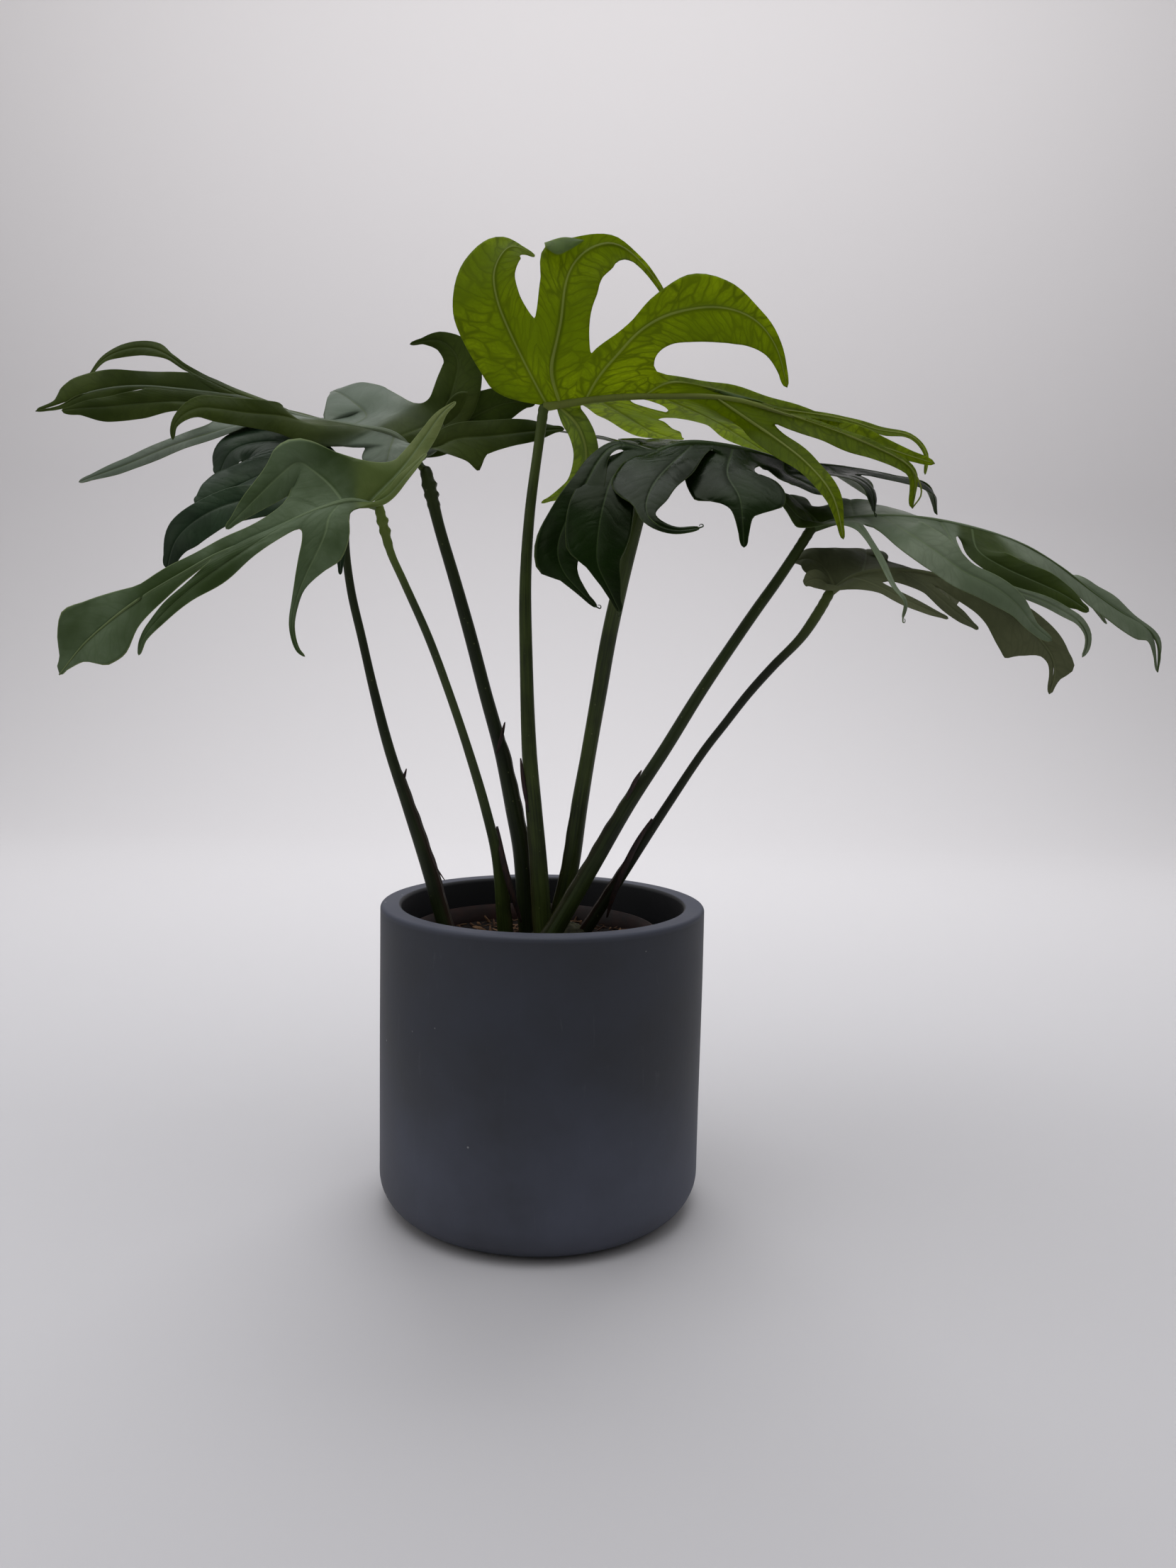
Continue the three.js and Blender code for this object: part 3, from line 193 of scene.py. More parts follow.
# Painted light: paler over the top of the rim, where the sky above falls on it.
painted_rim_light = add(tree, "ShaderNodeMapRange", {
    "Value": height, "From Min": RIM_LIT_FROM, "From Max": RIM_LIT_FULL,
    "To Max": 0.4})
pale = add(tree, "ShaderNodeMath", {0: painted_bounce, 1: painted_rim_light}, operation="MAXIMUM")
painted_lighter = add(tree, "ShaderNodeMixRGB", {"Fac": pale, "Color1": paint, "Color2": sRGB("#565A6A")})
stretched = add(tree, "ShaderNodeMapping", {"Vector": place, "Scale": (1, 1, 0.12)})
scuffs = add(tree, "ShaderNodeTexNoise", {
    "Vector": stretched, "Scale": 1 / PAINT_SCUFFS, "Detail": 8, "Roughness": 0.75,
    "Distortion": 1.5})
scuffed = add(tree, "ShaderNodeMapRange", {
    "Value": scuffs, "From Min": 0.62, "From Max": 0.8, "To Max": 0.3})
worn = add(tree, "ShaderNodeMixRGB", {"Fac": scuffed, "Color1": painted_lighter, "Color2": sRGB("#6A6C6E")})
chips = add(tree, "ShaderNodeTexVoronoi", {
    "Vector": place, "Scale": 1 / PAINT_CHIPS, "Randomness": 1})
chip = add(tree, "ShaderNodeMapRange", {"Value": chips, "From Min": 0.035, "From Max": 0.02})
chipped = add(tree, "ShaderNodeMixRGB", {"Fac": chip, "Color1": worn, "Color2": sRGB("#8A8C8C")})
# Painted shade: within 133 mm of the axis, inside the wall, the planter is darker, as the leaves keep the
# light out of it.
inside = add(tree, "ShaderNodeMapRange", {
    "Value": from_axis, "From Min": INSIDE_SHADE_FROM, "From Max": INSIDE_SHADE_FULL})
painted_inside_shade = add(tree, "ShaderNodeMixRGB", {"Fac": inside, "Color1": chipped, "Color2": sRGB("#141519")})
rough = add(tree, "ShaderNodeMapRange", {"Value": clouds, "To Min": 0.5, "To Max": 0.72})
relief = add(tree, "ShaderNodeMath", {0: grit, 1: scuffs}, operation="ADD")
bump = add(tree, "ShaderNodeBump", {"Height": relief, "Distance": 0.3 * MM, "Strength": 0.35})
surface = add(tree, "ShaderNodeBsdfPrincipled", {
    "Base Color": painted_inside_shade, "IOR": 1.5, "Roughness": rough, "Normal": bump})
add(tree, "ShaderNodeOutputMaterial", {"Surface": surface})
place_piece("planter_body", *revolved(planter_profile, PLANTER_SIDES, swell=hand_cast),
            clay, "planter", "planter")

# Nursery pot. The grower's pot, thermoformed from brown polypropylene with a rolled lip. It
# stands loose on the planter's floor, and from the front only its back wall shows; the drain
# holes in its bottom never do, and are left to the CAD solid.
NURSERY_TOP_RADIUS = 115
NURSERY_FOOT_RADIUS = 88
NURSERY_FOOT_ROUND = 4
NURSERY_RIM = 257
NURSERY_WALL = 2.2
NURSERY_LIP = 3.5
NURSERY_LIP_HEIGHT = 14
NURSERY_LIP_EDGE = 0.8
NURSERY_LIP_ROUND = 1.1
NURSERY_CLEAR = 0.3
NURSERY_SIDES = 120
NURSERY_STEPS = 16
NURSERY_AT = (-8, 4, PLANTER_FLOOR + NURSERY_CLEAR)

nursery_top = NURSERY_RIM - NURSERY_AT[2]
nursery_taper = NURSERY_TOP_RADIUS - NURSERY_LIP - NURSERY_FOOT_RADIUS


def nursery_radius(z):
    """The outside of the tapered wall, below the lip."""
    return NURSERY_FOOT_RADIUS + nursery_taper * z / nursery_top


lip_foot = nursery_top - NURSERY_LIP_HEIGHT
nursery_flat = NURSERY_FOOT_RADIUS - NURSERY_FOOT_ROUND
nursery_profile = [(0, 0)]
nursery_profile += straight((0, 0), (nursery_flat, 0), 6)
nursery_profile += rounded((nursery_flat, NURSERY_FOOT_ROUND), NURSERY_FOOT_ROUND, -90, 0, 5)
nursery_profile += [(nursery_radius(z), z) for z in np.linspace(10, lip_foot - 1, NURSERY_STEPS)]
nursery_profile += [(NURSERY_TOP_RADIUS - NURSERY_LIP_EDGE, lip_foot),
                    (NURSERY_TOP_RADIUS, lip_foot + NURSERY_LIP_EDGE)]
nursery_profile += [(NURSERY_TOP_RADIUS, z) for z in np.linspace(lip_foot + 3, nursery_top - 1, 4)]
nursery_profile += rounded((NURSERY_TOP_RADIUS - NURSERY_LIP_ROUND, nursery_top - NURSERY_LIP_ROUND),
                           NURSERY_LIP_ROUND, 0, 180, 6)
nursery_profile += [(nursery_radius(z) - NURSERY_WALL, z)
                    for z in np.linspace(nursery_top - 3, NURSERY_WALL + 2, NURSERY_STEPS)]
nursery_profile += [(NURSERY_FOOT_RADIUS - 6, NURSERY_WALL), (NURSERY_FOOT_RADIUS / 2, NURSERY_WALL),
                    (0, NURSERY_WALL)]

# Thermoformed polypropylene: an even satin brown, dulled by watering marks 30 mm across and dried
# soil. Its moulded grain is well under a millimetre, and is drawn at 2 mm so that it shows.
WATER_MARKS = 30 * MM
MOULDED_GRAIN = 2 * MM
brown_pp, tree = fresh_material("polypropylene, thermoformed brown")
place = add(tree, "ShaderNodeTexCoord", out="Object")
stains = add(tree, "ShaderNodeTexNoise", {
    "Vector": place, "Scale": 1 / WATER_MARKS, "Detail": 6, "Roughness": 0.6})
tone = add(tree, "ShaderNodeValToRGB", {"Fac": stains})
stops = tone.node.color_ramp.elements
stops[0].position = 0.35
stops[0].color = sRGB("#0F0605")
stops[1].position = 0.72
stops[1].color = sRGB("#2C130D")
grain = add(tree, "ShaderNodeTexNoise", {"Vector": place, "Scale": 1 / MOULDED_GRAIN, "Detail": 3})
bump = add(tree, "ShaderNodeBump", {"Height": grain, "Distance": 0.1 * MM, "Strength": 0.3})
rough = add(tree, "ShaderNodeMapRange", {"Value": stains, "To Min": 0.4, "To Max": 0.65})
surface = add(tree, "ShaderNodeBsdfPrincipled", {
    "Base Color": tone, "IOR": 1.49, "Specular IOR Level": 0.25,
    "Roughness": rough, "Normal": bump})
add(tree, "ShaderNodeOutputMaterial", {"Surface": surface})
place_piece("nursery_pot_body", *revolved(nursery_profile, NURSERY_SIDES, NURSERY_AT),
            brown_pp, "nursery_pot", "nursery")

# Soil. Peat-based potting mix that fills the nursery pot to a finger's width below its rim,
# with bark fines and bits of dry husk lying on it.
SOIL_TOP = 243
SOIL_HEAP = 5
SOIL_ROUGH = 1.6
SOIL_SUNK = 1.2
SOIL_RINGS = 46
SOIL_SIDES = 170
SOIL_CLEAR = 0.9
SOIL_FOOT_CLEAR = 3
CHIP_COUNT = 420
CHIP_SEED = 17
CHIP_LENGTH = (4, 15)
CHIP_SHARE = (0.12, 0.42)
CHIP_THICK = (0.5, 1.4)
CHIP_SPREAD = 0.96

soil_edge = nursery_radius(SOIL_TOP - NURSERY_AT[2]) - NURSERY_WALL - SOIL_CLEAR


def soil_height(x, y):
    """The heap in the middle, with lumps from a few to a few tens of millimetres."""
    far = math.hypot(x, y) / soil_edge
    lumps = 0.5 * math.sin(x / 9 + 1.3 * math.sin(y / 14)) * math.sin(y / 7 + 0.6)
    lumps += 0.5 * math.sin(x / 3.1 + 2 * math.sin(y / 5)) * math.sin(y / 2.7 + x / 11)
    lumps += 0.35 * math.sin(x / 1.3 + y / 2.1) * math.sin(y / 1.1 - x / 3.3)
    return SOIL_TOP + SOIL_HEAP * (1 - far * far) + SOIL_ROUGH * lumps - SOIL_SUNK


soil_points = [(NURSERY_AT[0], NURSERY_AT[1], soil_height(0, 0))]
soil_faces = []
for ring in range(1, SOIL_RINGS + 1):
    for k in range(SOIL_SIDES):
        r = soil_edge * ring / SOIL_RINGS
        angle = 2 * math.pi * k / SOIL_SIDES
        x = r * math.cos(angle)
        y = r * math.sin(angle)
        soil_points.append((NURSERY_AT[0] + x, NURSERY_AT[1] + y, soil_height(x, y)))
soil_foot = NURSERY_AT[2] + NURSERY_WALL + 0.5
soil_foot_radius = nursery_radius(NURSERY_WALL) - NURSERY_WALL - SOIL_FOOT_CLEAR
for k in range(SOIL_SIDES):
    angle = 2 * math.pi * k / SOIL_SIDES
    soil_points.append((NURSERY_AT[0] + soil_foot_radius * math.cos(angle),
                        NURSERY_AT[1] + soil_foot_radius * math.sin(angle), soil_foot))
soil_points.append((NURSERY_AT[0], NURSERY_AT[1], soil_foot))
last_ring = 1 + SOIL_RINGS * SOIL_SIDES
for k in range(SOIL_SIDES):
    after = (k + 1) % SOIL_SIDES
    soil_faces.append((0, 1 + k, 1 + after))
    for ring in range(SOIL_RINGS):
        a = 1 + ring * SOIL_SIDES
        soil_faces.append((a + k, a + SOIL_SIDES + k, a + SOIL_SIDES + after, a + after))
    soil_faces.append((last_ring + k, len(soil_points) - 1, last_ring + after))

# Bark fines: thin split slivers, each a bent four-sided blade that lies at its own tilt.
chance = np.random.default_rng(CHIP_SEED)
soil_bark = [0.0] * len(soil_points)
for _ in range(CHIP_COUNT):
    far = soil_edge * CHIP_SPREAD * math.sqrt(chance.random())
    angle = chance.uniform(0, 2 * math.pi)
    x = far * math.cos(angle)
    y = far * math.sin(angle)
    length = chance.uniform(*CHIP_LENGTH)
    width = length * chance.uniform(*CHIP_SHARE)
    thick = chance.uniform(*CHIP_THICK)
    tilt = Matrix.Rotation(chance.uniform(0, 2 * math.pi), 3, "Z")
    tilt = tilt @ Matrix.Rotation(chance.normal(0, 0.4), 3, "Y")
    tilt = tilt @ Matrix.Rotation(chance.normal(0, 0.5), 3, "X")
    centre = Vector((NURSERY_AT[0] + x, NURSERY_AT[1] + y, soil_height(x, y) + thick * 0.4 + 0.5))
    shade = chance.uniform(0.25, 1)
    base = len(soil_points)
    bend = chance.normal(0, 0.12) * length
    for share, wide in ((-0.5, 0.35), (0, 1), (0.5, 0.3)):
        for side, up in ((-0.5, -0.5), (0.5, -0.5), (0.5, 0.5), (-0.5, 0.5)):
            spot = Vector((length * share, width * wide * side,
                           thick * up + bend * (0.25 - share * share)))
            soil_points.append(tuple(centre + tilt @ spot))
            soil_bark.append(shade)
    for ring in (0, 4):
        for k in range(4):
            a = base + ring + k
            b = base + ring + (k + 1) % 4
            soil_faces.append((a, b, b + 4, a + 4))
    soil_faces.append((base + 3, base + 2, base + 1, base))
    soil_faces.append((base + 8, base + 9, base + 10, base + 11))

# Moist peat is near black and dull; the dry bark bits on it are a dusty red-brown to straw. The
# mix is crumbly at 3 mm, and mottled by fines of 6 mm and less.
PEAT_CRUMBS = 2.8 * MM
PEAT_FINES = 6 * MM
peat, tree = fresh_material("potting peat with bark fines")
place = add(tree, "ShaderNodeTexCoord", out="Object")
bark = add(tree, "ShaderNodeAttribute", attribute_name="bark", out="Fac")
crumbs = add(tree, "ShaderNodeTexVoronoi", {
    "Vector": place, "Scale": 1 / PEAT_CRUMBS, "Randomness": 1})
fines = add(tree, "ShaderNodeTexNoise", {
    "Vector": place, "Scale": 1 / PEAT_FINES, "Detail": 8, "Roughness": 0.7})
dark = add(tree, "ShaderNodeValToRGB", {"Fac": fines})
stops = dark.node.color_ramp.elements
stops[0].position = 0.35
stops[0].color = sRGB("#0A0705")
stops[1].position = 0.75
stops[1].color = sRGB("#17100D")
straw = add(tree, "ShaderNodeValToRGB", {"Fac": bark})
stops = straw.node.color_ramp.elements
stops[0].position = 0.2
stops[0].color = sRGB("#2E1D15")
stops[1].position = 1
stops[1].color = sRGB("#634B36")
is_bark = add(tree, "ShaderNodeMath", {0: bark, 1: 0.05}, operation="GREATER_THAN")
mixed = add(tree, "ShaderNodeMixRGB", {"Fac": is_bark, "Color1": dark, "Color2": straw})
bump = add(tree, "ShaderNodeBump", {"Height": crumbs, "Distance": 1.2 * MM, "Strength": 0.8})
surface = add(tree, "ShaderNodeBsdfPrincipled", {
    "Base Color": mixed, "Roughness": 0.92, "Specular IOR Level": 0.15,
    "Normal": bump})
add(tree, "ShaderNodeOutputMaterial", {"Surface": surface})
place_piece("soil_body", soil_points, soil_faces, peat, "soil", "soil",
            {"bark": soil_bark + [0.0] * (len(soil_points) - len(soil_bark))})

# Leaf stalks. Each leaf has its own stalk that rises from the crown, stiff and nearly round,
# with a pair of sheath lips low on the side that faces the crown and a swollen joint just
# below the blade, where the leaf turns to the light.
EYE = np.array([40.0, -1086.0, 497.0])
ROOTED = 34


def seen(points):
    """Points written as x, z on the plane through the planter's axis, as the eye in front of the
    plant sees them, and y, how far behind or before that plane they really are."""
    given = np.array(points, dtype=float)
    plane = np.column_stack([given[:, 0], np.zeros(len(given)), given[:, 1]])
    reach = (given[:, 2] - EYE[1]) / -EYE[1]
    return (plane - EYE) * reach[:, None] + EYE


def unit(vectors):
    """Each vector at length 1."""
    return vectors / np.maximum(np.linalg.norm(vectors, axis=-1, keepdims=True), 1e-9)


class Line:
    """A smooth line through points, walked by the share of its length."""

    STEPS = 40

    def __init__(self, points):
        knots = np.array(points, dtype=float)
        before = 2 * knots[0] - knots[1]
        after = 2 * knots[-1] - knots[-2]
        padded = np.vstack([before, knots, after])
        gaps = np.sqrt(np.maximum(np.linalg.norm(np.diff(padded, axis=0), axis=1), 1e-6))
        t = (np.arange(self.STEPS) / self.STEPS)[:, None]
        spans = []
        for k in range(1, len(knots)):
            a, b, c, d = padded[k - 1:k + 3]
            g0, g1, g2 = gaps[k - 1:k + 2]
            leave = ((b - a) / g0 - (c - a) / (g0 + g1) + (c - b) / g1) * g1
            arrive = ((c - b) / g1 - (d - b) / (g1 + g2) + (d - c) / g2) * g1
            spans.append(b + leave * t + (3 * (c - b) - 2 * leave - arrive) * t ** 2
                         + (2 * (b - c) + leave + arrive) * t ** 3)
        self.walk = np.vstack([*spans, knots[-1:]])
        steps = np.linalg.norm(np.diff(self.walk, axis=0), axis=1)
        self.length = steps.sum()
        self.shares = np.concatenate([[0], np.cumsum(steps)]) / self.length
        self.heading = unit(np.gradient(self.walk, self.shares, axis=0))

    def at(self, share):
        """The point at a share of the length, or one point for each share."""
        share = np.clip(share, 0, 1)
        return np.stack([np.interp(share, self.shares, self.walk[:, k]) for k in range(3)], axis=-1)

    def along(self, share):
        """The direction of the line there."""
        share = np.clip(share, 0, 1)
        return unit(np.stack([np.interp(share, self.shares, self.heading[:, k]) for k in range(3)],
                             axis=-1))


def carried(line, shares, facing):
    """A direction across the line, carried along it without twist."""
    across = np.array(facing, dtype=float)
    table = []
    for heading in line.along(shares):
        across = unit(across - heading * across.dot(heading))
        table.append(across)
    return np.array(table)


# Of each stalk: its two greens; how pale and how frilled its joint is; which way its sheath faces,
# the share of the stalk that it takes and how far its lips stand out; the start of the midrib that
# the stalk carries and half its thickness; the radius at shares of the length; and its points.
STALKS = {
    "a": dict(
        tone=("#12180A", "#263012"), joint=(0.1, 0), facing=(1, 0, 0.2),
        sheath=(0.4, 2.2), tip=(-184, 655, -32), rib=3.6,
        girth=[(0, 7.4), (0.2, 6.8), (0.42, 4.9), (0.65, 3.9), (0.93, 3.5), (1, 4)],
        points=[(-93, 262, -16), (-108, 314, -15), (-126, 367, -15), (-144, 420, -16), (-158, 472, -18),
                (-170, 523, -20), (-180, 566, -24), (-185, 605, -28), (-185, 636, -31)]),
    "b": dict(
        tone=("#1E280D", "#3E4C1E"), joint=(0.85, 2.2), facing=(1, 0, 0.2),
        sheath=(0.24, 2.2), tip=(-155, 642, -108), rib=3.6,
        girth=[(0, 7.4), (0.16, 6.4), (0.26, 4.8), (0.5, 3.8), (0.9, 3.2), (0.97, 4), (1, 4)],
        points=[(-36, 260, -8), (-42, 316, -17), (-55, 369, -29), (-71, 421, -42), (-89, 473, -58),
                (-109, 525, -74), (-132, 575, -91), (-144, 601, -98), (-151, 626, -104)]),
    "c": dict(
        tone=("#12180A", "#283214"), joint=(0.1, 3.2), facing=(1, 0, 0.2),
        sheath=(0.44, 2.6), tip=(-113, 676, 10), rib=4.4,
        girth=[(0, 9), (0.28, 8), (0.42, 6.6), (0.6, 6), (0.9, 5.1), (0.97, 6), (1, 5)],
        points=[(-14, 258, 12), (-21, 330, 14), (-29, 369, 15), (-41, 422, 16), (-56, 474, 16),
                (-70, 525, 15), (-85, 576, 13), (-101, 628, 11)]),
    "d": dict(
        tone=("#1A230C", "#43501F"), joint=(0.25, 0), facing=(-1, 0, 0.2),
        sheath=(0.36, 1.4), tip=(-7, 733, 0), rib=4.4,
        girth=[(0, 9.4), (0.15, 8.6), (0.35, 7), (0.6, 5.7), (0.92, 4.2), (0.97, 4.8), (1, 4.4)],
        points=[(0, 258, -8), (-6, 330, -10), (-10, 370, -11), (-15, 422, -12), (-19, 501, -12),
                (-21, 578, -9), (-18, 640, -6), (-11, 700, -2)]),
    "e": dict(
        tone=("#1A230C", "#43501F"), joint=(0.2, 0), facing=(-1, 0, 0.2),
        sheath=(0.3, 1.6), tip=(91, 694, -60), rib=4.6,
        girth=[(0, 9.4), (0.2, 8.6), (0.4, 7), (0.7, 7), (0.92, 6), (1, 5)],
        points=[(14, 262, 14), (25, 317, 9), (32, 371, 3), (40, 424, -5), (48, 476, -14), (56, 528, -25),
                (66, 578, -37), (78, 630, -49), (87, 666, -56)]),
    "f": dict(
        tone=("#171F0A", "#34411A"), joint=(0.1, 0), facing=(-1, 0, 0.4),
        sheath=(0.4, 2.6), tip=(238, 631, -8), rib=4.2,
        girth=[(0, 9), (0.2, 7.4), (0.42, 5.8), (0.7, 5), (0.92, 4.6), (1, 4.8)],
        points=[(15, 262, -27), (46, 318, -26), (76, 372, -24), (109, 425, -22), (140, 478, -20),
                (173, 530, -17), (190, 556, -15), (209, 584, -13), (226, 611, -10)]),
    "g": dict(
        tone=("#10150A", "#242C13"), joint=(0.4, 0), facing=(-1, 0, 0.4),
        sheath=(0.28, 2.2), tip=(257, 574, -30), rib=3.8,
        girth=[(0, 6.2), (0.25, 4.6), (0.5, 3.8), (0.85, 4), (0.92, 4.8), (1, 4.4)],
        points=[(46, 264, 4), (79, 318, 1), (112, 372, -4), (146, 426, -9), (165, 452, -12),
                (185, 479, -16), (207, 505, -20), (232, 532, -24), (248, 557, -28)]),
}
STALK_RINGS = 220
STALK_SIDES = 36
SHEATH_FADE = 0.04
LIP_ANGLE = 0.63
LIP_BREADTH = 0.17
GROOVE_BREADTH = 0.4
JOINT_FROM = 0.9
JOINT_RIDGES = 1.1
FRILL_RIDGES = 1.5
FRILL_ANGLES = ((0.6, 1), (2.6, 0.6))
FRILL_BREADTH = 0.35
DRY_BREADTH = 0.3


def tube(line, shares, radii, across, centre_shift=None):
    """Rings of points round a line, a radius for every ring and angle, closed at both ends."""
    headings = line.along(shares)
    other = np.cross(headings, across)
    centres = line.at(shares)
    if centre_shift is not None:
        centres = centres + centre_shift
    rings, sides = radii.shape
    angles = 2 * np.pi * np.arange(sides) / sides
    points = (centres[:, None] + across[:, None] * (radii * np.cos(angles))[..., None]
              + other[:, None] * (radii * np.sin(angles))[..., None]).reshape(-1, 3)
    faces = []
    for ring in range(rings - 1):
        for k in range(sides):
            a = ring * sides + k
            b = ring * sides + (k + 1) % sides
            faces.append((a, b, b + sides, a + sides))
    faces.append(tuple(range(sides - 1, -1, -1)))
    faces.append(tuple(range((rings - 1) * sides, rings * sides)))
    return points, faces


# Stalk skin: smooth cuticle over green fibre, finely ribbed along its length, satin, with the
# odd pale corky fleck, and darker and redder where the old sheath dries. The fibres are a fifth
# of a radian wide, about a millimetre, and 50 mm long; the flecks lie 9 mm apart.
FIBRES_PER_RADIAN = 5
FIBRE_LENGTH = 50
STALK_SHADES = 50 * MM
STALK_FLECKS = 9 * MM


def stalk_skin(name, tone):
    """Living stalk between two greens; the marks on the mesh say how dry and how jointed it is."""
    made, tree = fresh_material(name)
    along = add(tree, "ShaderNodeAttribute", attribute_name="along", out="Fac")
    turn = add(tree, "ShaderNodeAttribute", attribute_name="turn", out="Fac")
    dry = add(tree, "ShaderNodeAttribute", attribute_name="dry", out="Fac")
    joint = add(tree, "ShaderNodeAttribute", attribute_name="joint", out="Fac")
    place = add(tree, "ShaderNodeTexCoord", out="Object")
    grid = add(tree, "ShaderNodeCombineXYZ", {"X": turn, "Y": along})
    lengthwise = add(tree, "ShaderNodeMapping", {
        "Vector": grid, "Scale": (FIBRES_PER_RADIAN, 1 / FIBRE_LENGTH, 1)})
    fibre = add(tree, "ShaderNodeTexNoise", {
        "Vector": lengthwise, "Scale": 1, "Detail": 4, "Roughness": 0.6})
    broad = add(tree, "ShaderNodeTexNoise", {
        "Vector": place, "Scale": 1 / STALK_SHADES, "Detail": 3})
    both = add(tree, "ShaderNodeMath", {0: fibre, 1: broad}, operation="ADD")
    shade = add(tree, "ShaderNodeMapRange", {"Value": both, "From Min": 0.7, "From Max": 1.3})
    green = add(tree, "ShaderNodeMixRGB", {
        "Fac": shade, "Color1": sRGB(tone[0]), "Color2": sRGB(tone[1])})
    flecks = add(tree, "ShaderNodeTexVoronoi", {
        "Vector": place, "Scale": 1 / STALK_FLECKS, "Randomness": 1})
    fleck = add(tree, "ShaderNodeMapRange", {
        "Value": flecks, "From Min": 0.1, "From Max": 0.05, "To Max": 0.45})
    flecked = add(tree, "ShaderNodeMixRGB", {
        "Fac": fleck, "Color1": green, "Color2": sRGB("#6B7048")})
    jointed = add(tree, "ShaderNodeMixRGB", {
        "Fac": joint, "Color1": flecked, "Color2": sRGB("#66782E")})
    dried = add(tree, "ShaderNodeMixRGB", {
        "Fac": dry, "Color1": jointed, "Color2": sRGB("#33201A")})
    rough = add(tree, "ShaderNodeMapRange", {"Value": fibre, "To Min": 0.34, "To Max": 0.55})
    bump = add(tree, "ShaderNodeBump", {"Height": fibre, "Distance": 0.4 * MM, "Strength": 0.4})
    surface = add(tree, "ShaderNodeBsdfPrincipled", {
        "Base Color": dried, "IOR": 1.4, "Specular IOR Level": 0.36, "Roughness": rough,
        "Normal": bump})
    add(tree, "ShaderNodeOutputMaterial", {"Surface": surface})
    return made


for key, stalk in STALKS.items():
    path = seen([*stalk["points"], stalk["tip"]])
    path = np.vstack([path[0] - unit(path[1] - path[0]) * ROOTED, path])
    # The swollen joint closes round the foot of the midrib.
    over = path[-1] + unit(path[-1] - path[-2]) * stalk["rib"] * 0.75
    line = Line(np.vstack([path, over]))
    shares = np.linspace(0, 1, STALK_RINGS)
    walked = shares * line.length
    angles = 2 * np.pi * np.arange(STALK_SIDES) / STALK_SIDES
    off = np.abs(np.where(angles > np.pi, angles - 2 * np.pi, angles))
    phase = ord(key)
    knots = np.array(stalk["girth"])
    girth = np.interp(shares, knots[:, 0], knots[:, 1])
    girth = np.convolve(np.pad(girth, 6, mode="edge"), np.ones(13) / 13, mode="valid")
    faint_ribs = 0.05 * np.sin(angles * 14 + phase)
    joint = np.clip((shares - JOINT_FROM) / 0.08, 0, 1)
    joint_rings = joint[:, None] * 0.22 * np.sin(walked / JOINT_RIDGES)[:, None]
    radii = girth[:, None] * (1 + 0.012 * np.sin(shares * 23 + phase))[:, None]
    radii = radii + faint_ribs[None] + joint_rings
    # The two lips of the sheath stand open below its top, with a groove between them.
    top, lip = stalk["sheath"]
    open_below = np.clip((top + SHEATH_FADE / 2 - shares) / SHEATH_FADE, 0, 1)
    open_below = open_below ** 2 * (3 - 2 * open_below)
    wing = np.exp(-((off - LIP_ANGLE) / LIP_BREADTH) ** 2) * lip * 1.25
    groove = -0.35 * lip * np.exp(-(off / GROOVE_BREADTH) ** 2)
    ruffle = 1 + 0.25 * np.sin(shares * 90 + phase) * np.sin(shares * 37 + phase * 2)
    radii = radii + (open_below * ruffle)[:, None] * (wing + groove)[None]
    # Fine frills stand on two sides of the joint, and its end closes in a dome.
    paler, frill = stalk["joint"]
    near_top = np.clip((shares - JOINT_FROM) / 0.05, 0, 1) * np.clip((0.985 - shares) / 0.02, 0, 1)
    bumps = near_top * frill * (0.5 + 0.5 * np.sin(walked / FRILL_RIDGES))
    frilled = sum(share * np.exp(-((off - at) / FRILL_BREADTH) ** 2) for at, share in FRILL_ANGLES)
    radii = radii + bumps[:, None] * frilled[None]
    closing = np.clip((walked - line.length + girth) / girth, 0, 1)
    radii = radii * np.sqrt(1 - 0.995 * closing ** 2)[:, None]
    points, faces = tube(line, shares, radii, carried(line, shares, stalk["facing"]))
    old = (open_below * np.clip(1.4 - shares / top, 0, 1))[:, None]
    dry = np.clip(old * np.exp(-((off - LIP_ANGLE) / DRY_BREADTH) ** 2)[None], 0, 1)
    dry = dry * (0.9 if key in "ag" else 0.45)
    skin = stalk_skin("leaf stalk skin, living, " + key, stalk["tone"])
    place_piece("stalk_" + key + "_grown", points, faces, skin, "stalk_" + key, "stalk", {
        "along": np.repeat(walked, STALK_SIDES),
        "turn": np.tile(off, STALK_RINGS),
        "dry": dry.reshape(-1),
        "joint": np.repeat(paler * np.clip((shares - 0.8) / 0.16, 0, 1), STALK_SIDES)})

# Old sheath ends. Where a sheath has died back its dry tip still stands on the stalk, a thin
# papery strip that was never shed. Each has its half width and its points, as the stalks have.
HUSKS = {
    "a": [(1.4, [(-134, 383, -16), (-131.5, 393, -17), (-128.5, 404, -19)]),
          (0.8, [(-109, 336, -22), (-104, 322, -26), (-100, 312, -30), (-92, 300, -33)])],
    "b": [(3.0, [(-44, 352, -20), (-37, 317, -25), (-29, 289, -23), (-20, 262, -14)])],
    "c": [(1.7, [(-45, 420, 5), (-41.5, 433, 4), (-38, 449, 3)])],
    "d": [(2.0, [(-15, 366, -17), (-20, 394, -19), (-23, 416, -21)])],
    "f": [(2.2, [(76, 380, -31), (83, 396, -33), (89, 407, -35)])],
    "g": [(3.2, [(100, 362, -6), (88, 342, -9), (76, 317, -11), (66, 290, -9), (60, 268, -4)])],
}
HUSK_HALF = 0.35
HUSK_RINGS = 30
HUSK_SIDES = 16
HUSK_FACING = (1, 0.4, 0)

